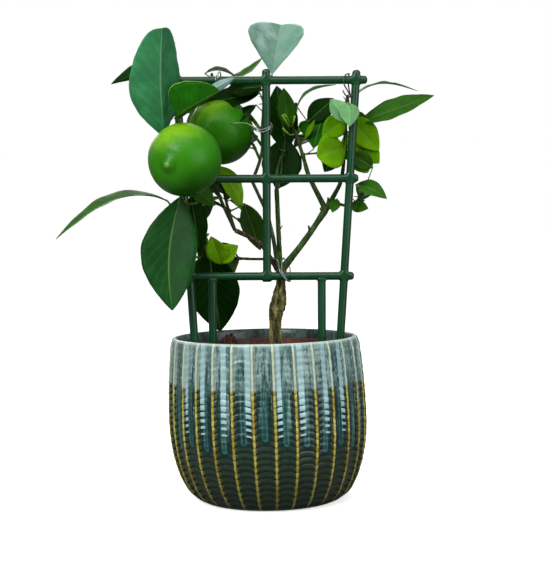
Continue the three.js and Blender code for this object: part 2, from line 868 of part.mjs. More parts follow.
function massSolid({ routes, blades, fruit }) {
  const twigs = Object.values(routes).map(({ points, girth }) => solidOf(tube(points, girth, TWIG.sides)));
  const leaves = blades.flatMap(({ foot, frame }) => [
    solidOf(bladeGeometry(frame)),
    solidOf(stalkGeometry(frame, foot)),
  ]);
  const girth = [
    [0, FRUIT.stalk * 0.8],
    [1, FRUIT.stalk],
  ];
  const balls = fruit.flatMap(({ foot, end, centre, radius, axis }) => [
    solidOf(fruitGeometry(centre, radius, axis)),
    solidOf(tube([foot, end, centre], girth, 5)),
  ]);
  return wasm.Manifold.union([...twigs, ...leaves, ...balls]);
}

// The part

const colours = {
  glaze: [0x5f8f93, 0.25],
  plasticPot: [0x7a3b26, 0.6],
  soil: [0x3a2a1e, 0.95],
  trellis: [0x0d4a2e, 0.4],
  wire: [0x9fb3ad, 0.35],
  bark: [0x6e6238, 0.85],
  greenBark: [0x3f6a25, 0.6],
  foliage: [0x2f7a2a, 0.4],
};

function meshOf(name, geometry, [color, roughness]) {
  const material = new THREE.MeshStandardMaterial({ color, roughness, metalness: 0 });
  const mesh = new THREE.Mesh(geometry, material);
  mesh.name = name;
  return mesh;
}

const part = new THREE.Group();
const { rods, feet, lines } = rodsOfTrellis();
const limbs = growLimbs();

part.add(meshOf("pot", potGeometry(), colours.glaze));
part.add(meshOf("grower_pot", growerGeometry(), colours.plasticPot));
part.add(meshOf("soil", soilGeometry(feet), colours.soil));
part.add(meshOf("bark_chip", barkGeometry(), colours.bark));
Object.entries(rods).forEach(([name, geometry]) => {
  part.add(meshOf(name, geometry, colours.trellis));
});

const topBar = TRELLIS.bars[2];
part.add(meshOf("tie_top", tieGeometry(onTrellis(-36, topBar), vector(1, 0, 0), 2, 12), colours.wire));
part.add(meshOf("tie_post", tieGeometry(onTrellis(0, 262), vector(0, 0, 1), 2, 14), colours.wire));
part.add(meshOf("tie_corner", tieGeometry(onTrellis(57, topBar), vector(1, 0, 0), 2, 10), colours.wire));
part.add(meshOf("tie_low", tieGeometry(onTrellis(11, 160), vector(1, 0, 0.3), 2, 10), colours.wire));

Object.entries(limbs).forEach(([name, limb]) => {
  part.add(meshOf(name, geometryOf(limb.solid), name === "trunk" ? colours.bark : colours.greenBark));
});

const fatStems = [];
Object.entries(growMasses(limbs, lines)).forEach(([name, mass]) => {
  let solid = massSolid(mass);
  Object.values(limbs).forEach((limb) => {
    solid = solid.subtract(limb.fat);
  });
  fatStems.forEach((stem) => {
    solid = solid.subtract(stem);
  });
  const { points, girth } = mass.routes.stem;
  fatStems.push(solidOf(tube(points, girth, TWIG.sides, GAP)));
  part.add(meshOf(name, geometryOf(wholePiece(solid)), colours.foliage));
});

export default part;
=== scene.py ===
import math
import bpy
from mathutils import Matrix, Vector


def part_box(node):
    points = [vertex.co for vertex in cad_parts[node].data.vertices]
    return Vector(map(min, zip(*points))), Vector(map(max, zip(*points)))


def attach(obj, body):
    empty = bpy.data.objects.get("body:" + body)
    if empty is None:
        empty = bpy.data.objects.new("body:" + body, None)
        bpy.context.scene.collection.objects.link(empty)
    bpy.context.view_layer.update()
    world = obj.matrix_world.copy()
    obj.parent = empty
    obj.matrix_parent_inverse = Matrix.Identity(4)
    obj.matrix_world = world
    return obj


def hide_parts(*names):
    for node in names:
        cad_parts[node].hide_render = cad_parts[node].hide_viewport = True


bl_info = {
    "name": "Potted Lemon Tree",
    "version": (1, 0, 0),
    "blender": (4, 5, 0),
    "location": "View3D > Sidebar > Lemon Tree",
    "description": "Builds a young lemon tree in a ribbed, drip-glazed pot with its small trellis",
    "category": "Object",
}

import bpy
import numpy as np
from bpy.props import FloatProperty, FloatVectorProperty, IntProperty, PointerProperty
from bpy.types import Operator, Panel, PropertyGroup
from mathutils import Matrix, Vector

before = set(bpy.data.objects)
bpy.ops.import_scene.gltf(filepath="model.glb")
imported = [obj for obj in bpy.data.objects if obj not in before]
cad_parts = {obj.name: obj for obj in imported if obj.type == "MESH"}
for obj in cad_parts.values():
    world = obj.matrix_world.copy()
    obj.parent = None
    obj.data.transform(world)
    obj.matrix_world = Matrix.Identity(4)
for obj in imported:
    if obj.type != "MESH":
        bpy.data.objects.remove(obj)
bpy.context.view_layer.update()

# Lengths below are millimetres, as in the part's source. Meshes are made in metres.
MM = 0.001


def paint(red, green, blue):
    """A colour as a screen shows it, 0 to 255, turned into Blender's linear value."""
    shown = np.array([red, green, blue]) / 255
    linear = np.where(shown <= 0.04045, shown / 12.92, ((shown + 0.055) / 1.055) ** 2.4)
    return tuple(float(part) for part in linear)


# Driving sizes, repeated from the part's source

POT = {
    "height": 117,
    "foot": 45,
    "belt": 69.8,
    "belt_height": 58,
    "shoulder_drop": 3.75,
    "lean": 0.02,
    "wall": 5,
    "floor": 6,
    "ribs": 30,
    "rib_start": -85.4,
    "rib_height": 1.3,
}
GROWER = {"foot": 46.5, "brim": 57.5, "brim_height": 103, "lip": 59.5, "lip_height": 110, "wall": 1.5}
SOIL_TOP = 103
TRELLIS = {
    "depth": -8,
    "middle": 0.3,
    "rod": 2.8,
    "lean": 0.71,
    "lean_from": 164,
    "half_at": 118,
    "half": 52,
    "splay": 0.0623,
    "bars": (160, 229, 298),
    "nubs": (7, 6, 8),
    "leg_half": 38.7,
    "leg_foot": 55,
    "post_foot": 92,
    "post_top": 305,
}
GAP = 0.3

LIMBS = {
    "trunk": {
        "foot": (6, 2, SOIL_TOP + GAP),
        "legs": [(180, 89, 26), (0, 78, 11), (0, 81, 13), (60, 85, 13)],
        "girth": [(0, 5.4), (0.1, 4.4), (0.38, 4.2), (0.54, 5.7), (0.64, 5.2), (0.8, 3.4), (1, 3.7)],
    },
    "bough_right": {
        "foot": (10.7, 3, 164),
        "legs": [(10, 50, 27), (14, 54, 27)],
        "girth": [(0, 2.9), (0.3, 2.2), (0.8, 2.1), (1, 2.7)],
    },
    "bough_centre": {
        "foot": (9.6, 4, 165),
        "legs": [(96, 77, 35), (109, 85, 23)],
        "girth": [(0, 2.1), (0.3, 1.7), (1, 1.7)],
    },
    "bough_middle": {
        "foot": (8.5, 3, 165),
        "legs": [(145, 78, 34), (165, 68, 21), (168, 65, 11)],
        "girth": [(0, 2), (0.4, 1.3), (1, 1.2)],
    },
    "bough_left": {
        "foot": (8, 5, 164),
        "legs": [(163, 57, 13), (147, 49, 11), (161, 28, 14), (162, 24, 7)],
        "girth": [(0, 2), (0.4, 1.6), (1, 1.7)],
    },
    "bough_right_inner": {
        "on": "bough_right",
        "legs": [(160, 63, 26), (147, 71, 12)],
        "girth": [(0, 2), (1, 1.5)],
    },
    "bough_right_outer": {
        "on": "bough_right",
        "legs": [(338, 58, 20), (325, 74, 13)],
        "girth": [(0, 1.9), (0.5, 1.5), (1, 1.4)],
    },
}


def leaf(at, stalk, blade, width, tone="mid", **shape):
    """A leaf: its place on its twig, a stalk and a blade as heading, rise and length, and a width.
    tone names its colours, and shape may give arch, sway, roll, fold, widest and full."""
    spec = {"arch": 0, "sway": 0, "roll": 0, "fold": 12, "widest": 0.45, "full": 0.85, "taper": 0}
    return {"at": at, "stalk": stalk, "blade": blade, "width": width, "tone": tone, **spec, **shape}


TALL_LEAF = {"roll": 212, "fold": -22, "sway": -2, "widest": 0.5, "full": 0.72, "taper": 1}
FOLDED_LEAF = {"roll": 50, "fold": 42, "widest": 0.25, "full": 0.55}

MASSES = {
    "foliage_left": {
        "seed": 11,
        "twigs": {
            "stem": {
                "from": "bough_left",
                "legs": [(206, 64, 21), (210, 65, 19), (231, 47, 21), (236, 52, 18), (201, 35, 10)],
                "girth": [(0, 1.3), (1, 1)],
            },
            "low": {"on": "stem", "at": 0.3, "legs": [(232, -10, 18), (223, -7, 16), (180, -6, 10)]},
            "top": {
                "on": "stem",
                "at": 0.86,
                "legs": [(104, 58, 15), (37, 63, 11), (8, 52, 11), (8, 49, 11), (180, 87, 9)],
            },
        },
        "leaves": {
            "stem": [
                leaf(1, (208, -33, 12), (274, 70, 78), 44, "tall", **TALL_LEAF),
                leaf(0.93, (261, 29, 21), (343, 30, 35), 43, "rich", **FOLDED_LEAF),
                leaf(0.93, (355, 62, 32), (344, 25, 24), 7, "silver", roll=-70),
                leaf(0.3, (186, 3, 21), (60, -75, 43), 20, "dark", roll=110),
                leaf(0.45, (219, -7, 21), (3, -41, 24), 16, "mid", roll=60),
            ],
            "low": [
                leaf(1, (196, 44, 6), (196, -18, 82), 22, "mid", roll=-12, arch=13),
                leaf(0.75, (228, 39, 9), (250, -77, 81), 40, "deep", roll=-15, fold=8, sway=5, widest=0.5),
            ],
            "top": [
                leaf(0.75, (160, 22, 25), (174, -2, 49), 20, "deep", arch=10, roll=30),
                leaf(0.94, (190, 30, 6), (10, -8, 24), 12, "brown", arch=4, roll=20),
                leaf(0.9, (27, 14, 13), (14, 29, 29), 12, "mid", arch=-4, roll=20),
            ],
        },
        "fruit": [{"on": "stem", "at": 0.55, "stalk": (268, 24, 24), "radius": 25.2, "to": (239, -7)}],
    },
    "foliage_left_inner": {
        "seed": 23,
        "twigs": {
            "stem": {
                "from": "bough_left",
                "legs": [(150, 71, 19), (156, 76, 19), (151, 66, 10)],
                "girth": [(0, 1.2), (1, 0.9)],
            },
        },
        "leaves": {
            "stem": [
                leaf(1, (177, 45, 2), (6, -59, 38), 18, "lime", roll=55, arch=5),
                leaf(0.3, (31, 23, 14), (0, -72, 36), 18, "olive", roll=70),
            ],
        },
    },
    "foliage_low": {
        "seed": 37,
        "twigs": {
            "stem": {
                "foot": (7, 6, 171.9),
                "legs": [(160, -1, 17), (159, 5, 17), (166, 18, 22)],
                "girth": [(0, 1), (1, 0.9)],
            },
        },
        "leaves": {
            "stem": [
                leaf(0.7, (249, -39, 10), (235, 59, 24), 16, "lime", roll=211),
                leaf(0.76, (252, -34, 9), (344, 36, 19), 15, "lime", roll=75),
                leaf(1, (20, -12, 3), (0, -83, 61), 38, "dark", roll=90, widest=0.5),
            ],
        },
    },
    "foliage_top": {
        "seed": 41,
        "twigs": {
            "stem": {
                "from": "bough_middle",
                "legs": [(329, 64, 13), (333, 74, 12), (281, 88, 14), (21, 83, 22), (337, 78, 12)],
                "girth": [(0, 1.2), (1, 1)],
            },
        },
        "leaves": {
            "stem": [
                leaf(1, (358, 56, 5), (285, 50, 42), 46, "mint", roll=-5, fold=30, widest=0.7, full=0.55),
                leaf(0.85, (139, 69, 8), (167, -4, 27), 20, "dark", roll=-50),
                leaf(0.75, (112, 74, 13), (144, -22, 24), 18, "dark", roll=-40),
            ],
        },
        "fruit": [{"on": "stem", "at": 0.5, "stalk": (125, 38, 24), "radius": 24.3, "to": (180, -33)}],
    },
    "foliage_centre": {
        "seed": 53,
        "twigs": {
            "stem": {
                "from": "bough_centre",
                "legs": [(79, 77, 14), (31, 67, 15)],
                "girth": [(0, 1.4), (1, 1)],
            },
        },
        "leaves": {
            "stem": [
                leaf(0.3, (12, -78, 8), (63, 73, 39), 30, "dark", roll=26),
                leaf(1, (70, 11, 6), (133, 79, 48), 24, "dark", roll=-43),
            ],
        },
    },
    "foliage_right_inner": {
        "seed": 67,
        "twigs": {
            "stem": {
                "from": "bough_right_inner",
                "legs": [(147, 71, 21), (150, 62, 8), (32, 77, 9), (333, 74, 8)],
                "girth": [(0, 1.4), (1, 0.9)],
            },
        },
        "leaves": {
            "stem": [
                leaf(0.72, (241, -49, 8), (235, 78, 29), 14, "mid", roll=214),
                leaf(0.88, (300, -30, 3), (12, 33, 36), 9, "sage", roll=-15, arch=7),
                leaf(0.96, (13, -53, 15), (22, 39, 27), 17, "dark", roll=70),
                leaf(0.1, (350, 32, 9), (60, 59, 25), 30, "rich", roll=15, widest=0.7, full=0.6),
            ],
        },
    },
    "foliage_right": {
        "seed": 71,
        "twigs": {
            "stem": {
                "from": "bough_right_outer",
                "legs": [(320, 84, 16), (0, 86, 16), (326, 85, 19)],
                "girth": [(0, 1.3), (1, 1)],
            },
        },
        "leaves": {
            "stem": [
                leaf(0.7, (253, -16, 4), (197, -34, 21), 17, "fresh", roll=-85),
                leaf(0.5, (261, -66, 12), (196, -17, 22), 26, "fresh", roll=-80, widest=0.5, full=0.7),
                leaf(0.3, (146, -22, 6), (196, -56, 19), 14, "dark", roll=-70),
                leaf(0.7, (7, -4, 3), (354, -50, 31), 20, "fresh", roll=80),
                leaf(0.45, (5, -12, 5), (359, -45, 27), 20, "fresh", roll=80),
                leaf(0.3, (24, -6, 5), (5, -57, 22), 18, "fresh", roll=80, full=0.7),
                leaf(0.92, (271, -8, 15), (270, -62, 19), 15, "sage", fold=20),
                leaf(0.92, (270, -37, 26), (151, 49, 22), 15, "sage", roll=-50),
                leaf(0.8, (14, -38, 13), (341, 17, 56), 19, "mid", roll=55),
                leaf(1, (34, -5, 6), (27, 6, 54), 8, "sage", arch=8, roll=-5, widest=0.3),
            ],
        },
    },
    "foliage_right_low": {
        "seed": 89,
        "twigs": {
            "stem": {
                "from": "bough_right",
                "legs": [(338, 18, 11), (347, -7, 9), (0, 48, 12)],
                "girth": [(0, 1.2), (1, 0.9)],
            },
        },
        "leaves": {
            "stem": [
                leaf(1, (322, 64, 20), (188, 33, 20), 14, "olive", roll=-90),
                leaf(0.9, (180, 72, 9), (323, -22, 28), 14, "mid", arch=3, roll=40),
                leaf(0.6, (96, 48, 1), (335, -12, 14), 10, "mid", roll=70),
                leaf(0.2, (329, 60, 6), (243, -48, 13), 8, "mid", roll=-25),
            ],
        },
    },
}

BACK = {
    "tries": 300,
    "twigs": 2,
    "at": (0.15, 1),
    "heading": (50, 130),
    "rise": (-15, 50),
    "length": (12, 28),
    "places": [(0.5, -1), (0.75, 1), (1, 0)],
    "spread": 50,
    "stalk": (10, 5),
    "leaf_rise": (-45, 20),
    "leaf_length": (38, 56),
    "leaf_width": 0.44,
    "roll": (-30, 30),
    "arch": 5,
    "limb": 4,
    "clear": 2.5,
    "leaf_clear": 7,
    "hidden": 0.85,
    "space": {"front": 0, "back": 72, "low": 125, "high": 335},
    "eye": (4, -1000, 206),
    "twig_room": 1.4,
    "tones": ("mid", "rich", "deep", "olive"),
    "roots": ["stem"],
    "girth": [(0, 1.1), (1, 0.9)],
    "own": False,
}
# The finer twigs that only the scene has, grown by the same rule within the same reach
FINE = {
    **BACK,
    "tries": 240,
    "twigs": 12,
    "at": (0.05, 1),
    "heading": (10, 170),
    "rise": (-40, 70),
    "length": (6, 18),
    "places": [(0.5, -1), (0.7, 1), (1, 0)],
    "leaf_rise": (-50, 50),
    "leaf_length": (14, 30),
    "stalk": (12, 3),
    "arch": 3,
    "clear": 1,
    "leaf_clear": 2,
    "hidden": 0.8,
    "tones": ("fresh", "mid", "rich", "olive"),
    "roots": [],
    "girth": [(0, 0.75), (1, 0.5)],
    "own": True,
}
# Cut stubs and knots on the limbs: place, heading, rise, length and radius
SNAGS = {
    "trunk": [(0.86, 250, 30, 5, 1.6), (0.62, 190, 20, 4.5, 1.5)],
    "bough_right": [(0.62, 250, 60, 6, 1.0), (0.98, 0, 72, 10, 0.9), (0.98, 200, 30, 4, 1.9)],
    "bough_left": [(0.5, 250, -20, 4, 1.2)],
    "bough_right_inner": [(0.3, 240, 40, 4, 0.6)],
    "bough_centre": [(0.47, 0, 52, 5, 0.45), (0.2, 300, 62, 5, 1.3)],
}

# Only the scene has these: two leaves above the rear fruit, painted dark as shade, a small leaf at the right,
# pale shoots
SMALL_LEAVES = {
    "foliage_top": {
        "stem": [
            leaf(0.78, (140, 60, 9), (176, -9, 44), 17, "dark", roll=-62),
            leaf(0.7, (150, 40, 8), (190, -38, 26), 15, "dark", roll=-30),
        ],
    },
    "foliage_right_inner": {"stem": [leaf(0.3, (350, 40, 6), (350, 62, 15), 5, "fresh", roll=60)]},
}
SHOOTS = {
    "foliage_right_inner": [
        [(19.8, 21.6, 267), (17.4, 14, 268), (15.1, 10, 271.2), (12.9, 9, 274.8)],
        [(19.8, 21.6, 267.6), (17.8, 14, 270.6), (16.2, 10, 273.2), (14.4, 9, 275.4)],
        [(21.8, 20.6, 261.4), (18.6, 14, 260.6), (15.7, 10, 262.7), (13.1, 9, 265.6)],
        [(20.4, 22.3, 267.4), (20.6, 14, 268.2), (21.3, 10, 270.4), (22.1, 9, 273.9)],
    ],
}
TWIG_GIRTH = [(0, 1.1), (1, 0.9)]
TWIG_STEPS = 2
LIMB_STEPS = {"trunk": 3}
ARCH_PEAK = 0.42


# Routes: a start and legs of heading, rise and length, rounded off at the corners


def unit(values):
    """Each vector along the last axis, at length 1."""
    values = np.asarray(values, float)
    return values / np.linalg.norm(values, axis=-1, keepdims=True)


def toward(heading, rise, length):
    """A step of a length: heading in degrees round Z from +X, rise in degrees above the level."""
    level = math.cos(math.radians(rise)) * length
    side = math.radians(heading)
    return np.array([level * math.cos(side), level * math.sin(side), length * math.sin(math.radians(rise))])


def corners_of(start, legs):
    """The start, and the point that each leg ends at."""
    steps = np.array([toward(*leg) for leg in legs])
    return np.vstack([start, np.asarray(start, float) + np.cumsum(steps, axis=0)])


def smooth(corners, steps):
    """A uniform Catmull-Rom curve through the corners, its ends mirrored: on each leg from b to c, with
    a and d beside them, half of 2b + (c - a)t + (2a - 5b + 4c - d)t^2 + (3b - a - 3c + d)t^3."""
    before = 2 * corners[0] - corners[1]
    after = 2 * corners[-1] - corners[-2]
    around = np.vstack([before, corners, after])
    a, b, c, d = (around[step : len(around) - 3 + step, None, :] for step in range(4))
    t = (np.arange(steps) / steps)[None, :, None]
    curve = 2 * b + (c - a) * t + (2 * a - 5 * b + 4 * c - d) * t**2 + (3 * b - a - 3 * c + d) * t**3
    return np.vstack([curve.reshape(-1, 3) / 2, corners[-1]])


def lengths_of(points):
    """The length along the points up to each of them."""
    gaps = np.linalg.norm(np.diff(points, axis=0), axis=1)
    return np.concatenate([[0], np.cumsum(gaps)])


def along(points, fraction):
    """The point at a fraction of the whole length."""
    lengths = lengths_of(points)
    wanted = fraction * lengths[-1]
    return np.array([np.interp(wanted, lengths, points[:, axis]) for axis in range(3)])


# Blades: the outline is a sine whose top is moved to the widest place and made blunter by a lower power


def half_width(spec, u):
    """Half the blade's width at u, from 0 at its base to 1 at its tip."""
    skew = math.log(0.5) / math.log(spec["widest"])
    power = spec["full"] * (1 + spec["taper"] * (0.5 - u))
    return spec["width"] / 2 * np.maximum(np.sin(np.pi * u**skew), 0) ** power


def blade_frame(base, spec):
    """The blade's own axes: its chord, the way its upper face looks, and its side."""
    heading, rise, length = spec["blade"]
    chord = toward(heading, rise, 1)
    level = unit(np.cross(chord, (0, 0, 1)))
    above = np.cross(level, chord)
    roll = math.radians(spec["roll"])
    face = above * math.cos(roll) + level * math.sin(roll)
    side = level * math.cos(roll) - above * math.sin(roll)
    return {**spec, "base": base, "chord": chord, "face": face, "side": side, "length": length}


def blade_points(blade, u, v):
    """Points of the blade's middle sheet: u along it, v across it from -1 to 1. It arches as a sine,
    sways aside as a sine, and both halves rise from the midrib by the fold."""
    u, v = (np.asarray(part, float)[..., None] for part in np.broadcast_arrays(u, v))
    skew = math.log(0.5) / math.log(ARCH_PEAK)
    wide = half_width(blade, u) * v
    fold = math.radians(blade["fold"])
    arch = blade["arch"] * np.sin(np.pi * u**skew) + np.abs(wide) * math.sin(fold)
    aside = blade["sway"] * np.sin(np.pi * u) + wide * math.cos(fold)
    return blade["base"] + blade["chord"] * blade["length"] * u + blade["face"] * arch + blade["side"] * aside


# Growth: limbs, the masses' front twigs and leaves, and the seeded twigs behind them


def on_trellis(across, height):
    """A place on the trellis, which leans a little to the right."""
    lean = math.radians(TRELLIS["lean"])
    shift = math.tan(lean) * (height - TRELLIS["lean_from"])
    place = (TRELLIS["middle"] + across + shift, TRELLIS["depth"], height - math.sin(lean) * across)
    return np.array(place, float)


def half_at(height):
    """Half the distance between the two posts at a height."""
    return TRELLIS["half"] + TRELLIS["splay"] * (height - TRELLIS["half_at"])


def upright(half, low, high):
    """A rod's ends, at the same distance from the middle or following the splayed posts."""
    ends = (low, high)
    return np.array([on_trellis(half(height) if callable(half) else half, height) for height in ends])


def trellis_lines():
    """The lines that twigs keep clear of: posts, half bars and the centre post."""
    thick = TRELLIS["rod"]
    lines = []
    for side in (-1, 1):
        foot, top = TRELLIS["post_foot"], TRELLIS["post_top"]
        lines.append(upright(lambda height: side * half_at(height), foot, top))
        for height in TRELLIS["bars"]:
            reach = (thick + GAP, half_at(height) - thick - GAP)
            lines.append(np.array([on_trellis(side * end, height) for end in reach]))
    lines.append(upright(0, TRELLIS["bars"][0] - thick, TRELLIS["post_top"] + 1))
    return lines


def limb_routes():
    """Each limb's points, in the same steps as the solids."""
    routes = {}
    for name, limb in LIMBS.items():
        start = routes[limb["on"]][-1] if "on" in limb else np.array(limb["foot"], float)
        routes[name] = smooth(corners_of(start, limb["legs"]), LIMB_STEPS.get(name, TWIG_STEPS))
    return routes


def blades_on(twigs, routes):
    """The blades of the leaves that stand on each twig."""
    blades = []
    for name, leaves in twigs.items():
        for spec in leaves:
            foot = along(routes[name]["points"], spec["at"])
            blades.append({**blade_frame(foot + toward(*spec["stalk"]), spec), "foot": foot})
    return blades


def grow_front(mass, limbs):
    """The twigs, blades and fruit that a mass shows at its front."""
    routes = {}
    for name, twig in mass["twigs"].items():
        if "on" in twig:
            start = along(routes[twig["on"]]["points"], twig["at"])
        elif "from" in twig:
            start = limbs[twig["from"]][-1]
        else:
            start = np.array(twig["foot"], float)
        points = smooth(corners_of(start, twig["legs"]), TWIG_STEPS)
        routes[name] = {"points": points, "girth": twig.get("girth", TWIG_GIRTH)}
    blades = blades_on(mass["leaves"], routes)
    fruit = []
    for ball in mass.get("fruit", []):
        foot = along(routes[ball["on"]]["points"], ball["at"])
        end = foot + toward(*ball["stalk"])
        axis = toward(*ball["to"], 1)
        centre = end + axis * (ball["radius"] - 1)
        fruit.append({"foot": foot, "end": end, "axis": axis, "radius": ball["radius"], "centre": centre})
    return {"seed": mass["seed"], "routes": routes, "blades": blades, "fruit": fruit}


def seeded(seed):
    """A repeatable run of numbers, each between a low and a high: the last whole number, multiplied and
    added to, wrapped at 2 to the power 32."""
    turns = 2**32
    state = [seed]

    def pick(ends):
        state[0] = (state[0] * 1664525 + 1013904223) % turns
        return ends[0] + (ends[1] - ends[0]) * state[0] / turns

    return pick


def gathered(sticks):
    """The straight parts of rods, twigs and balls, given as points and a radius: starts, spans, radii."""
    starts = np.vstack([points[:-1] for points, _ in sticks])
    spans = np.vstack([np.diff(points, axis=0) for points, _ in sticks])
    radii = np.concatenate([np.full(len(points) - 1, float(radius)) for points, radius in sticks])
    return starts, spans, radii


def gaps_to(points, sticks):
    """How far each point is from the surface of the nearest stick."""
    starts, spans, radii = sticks
    away = np.atleast_2d(points)[:, None] - starts
    size = np.maximum((spans**2).sum(-1), 1e-12)
    part = np.clip((away * spans).sum(-1) / size, 0, 1)
    return (np.linalg.norm(away - spans * part[..., None], axis=-1) - radii).min(-1)


def spots_of(blade):
    """Fifteen points spread over a blade."""
    u, v = np.meshgrid([0, 0.25, 0.5, 0.75, 1], [-1, 0, 1], indexing="ij")
    return blade_points(blade, u, v).reshape(-1, 3)


def hidden_by(item, eye, points):
    """Which points a leaf or fruit of the front hides: a fruit where the line of sight passes within its
    radius, a leaf where that line meets its flat inside its outline."""
    sight = points - eye
    if "centre" in item:
        reach = item["centre"] - eye
        part = np.clip(sight @ reach / (sight**2).sum(-1), 0, 1)
        return np.linalg.norm(sight * part[:, None] - reach, axis=-1) < item["radius"]
    part = (item["base"] - eye) @ item["face"] / (sight @ item["face"])
    hit = eye + sight * part[:, None] - item["base"]
    u = hit @ item["chord"] / item["length"]
    within = (part >= 0) & (part <= 1) & (u > 0) & (u < 1)
    return within & (np.abs(hit @ item["side"]) < half_width(item, np.clip(u, 0, 1)))


def grow_behind(mass, rule, others, sticks, shade):
    """Twigs with two or three leaves behind a mass. A twig or leaf is left out if it would leave the
    space, touch a limb, a rod or another leaf, or show in a gap of the front."""
    space = rule["space"]
    pick = seeded(mass["seed"])
    eye = np.array(rule["eye"], float)

    def clear(points):
        y, z = points[:, 1], points[:, 2]
        inside = (y > space["front"]) & (y < space["back"]) & (z > space["low"]) & (z < space["high"])
        if not inside.all():
            return False
        apart = ((points[:, None] - others) ** 2).sum(-1) > rule["leaf_clear"] ** 2
        return bool(apart.all()) and bool((gaps_to(points, sticks) > rule["clear"]).all())

    def unseen(points):
        bare = np.ones(len(points), bool)
        for item in shade:
            bare &= ~hidden_by(item, eye, points)
            if len(points) - bare.sum() > rule["hidden"] * len(points):
                return True
        return False

    kept = []
    for _ in range(rule["tries"]):
        if len(kept) == rule["twigs"]:
            break
        names = rule["roots"] or list(mass["routes"])
        root_of = names[0] if len(names) == 1 else names[int(pick((0, len(names))))]
        foot = along(mass["routes"][root_of]["points"], pick(rule["at"]))
        heading = pick(rule["heading"])
        points = corners_of(foot, [(heading, pick(rule["rise"]), pick(rule["length"]))])
        grown = []
        for at, hand in rule["places"]:
            way = heading + hand * rule["spread"]
            length = pick(rule["leaf_length"])
            blade = (way, pick(rule["leaf_rise"]), length)
            shape = {"roll": pick(rule["roll"]), "arch": rule["arch"]}
            tone = rule["tones"][int(length * 10) % len(rule["tones"])]
            spec = leaf(at, (way, *rule["stalk"]), blade, length * rule["leaf_width"], tone, **shape)
            root = along(points, at)
            made = {**blade_frame(root + toward(*spec["stalk"]), spec), "foot": root}
            spots = spots_of(made)
            if clear(spots) and unseen(spots):
                grown.append(made)
        parts = np.array([along(points, part) for part in (0.5, 0.75, 1)])
        if len(grown) > 1 and clear(parts):
            kept.append({"points": points, "blades": grown})
            if rule["own"]:
                others = np.vstack([others, *(spots_of(blade) for blade in grown)])
    return kept


def grow_tree():
    """All the limbs' routes and all the masses, grown in the order of the solids, and then the finer
    twigs that the solids leave out."""
    limbs = limb_routes()
    grown = {name: grow_front(mass, limbs) for name, mass in MASSES.items()}
    shade = [item for mass in grown.values() for item in mass["blades"] + mass["fruit"]]
    fixed = [(points, BACK["limb"]) for points in limbs.values()]
    fixed += [(line, TRELLIS["rod"]) for line in trellis_lines()]
    for rule, label in ((BACK, "back"), (FINE, "fine")):
        for mass in grown.values():
            rest = [other for other in grown.values() if rule["own"] or other is not mass]
            others = np.vstack([spots_of(blade) for other in rest for blade in other["blades"]])
            apart = [other for other in rest if other is not mass]
            routes = [route["points"] for other in apart for route in other["routes"].values()]
            sticks = fixed + [(points, BACK["twig_room"]) for points in routes]
            balls = [ball for other in rest for ball in other["fruit"]]
            sticks += [(np.array([ball["centre"]] * 2), ball["radius"]) for ball in balls]
            twigs = grow_behind(mass, rule, others, gathered(sticks), shade)
            for step, twig in enumerate(twigs):
                mass["routes"][f"{label}_{step}"] = {"points": twig["points"], "girth": rule["girth"]}
                mass["blades"] += twig["blades"]
    for name, twigs in SMALL_LEAVES.items():
        grown[name]["blades"] += blades_on(twigs, grown[name]["routes"])
    return limbs, grown


LIMB_ROUTES, GROWN = grow_tree()


# Meshes: surfaces are grids of points, gathered as arrays and made into one mesh


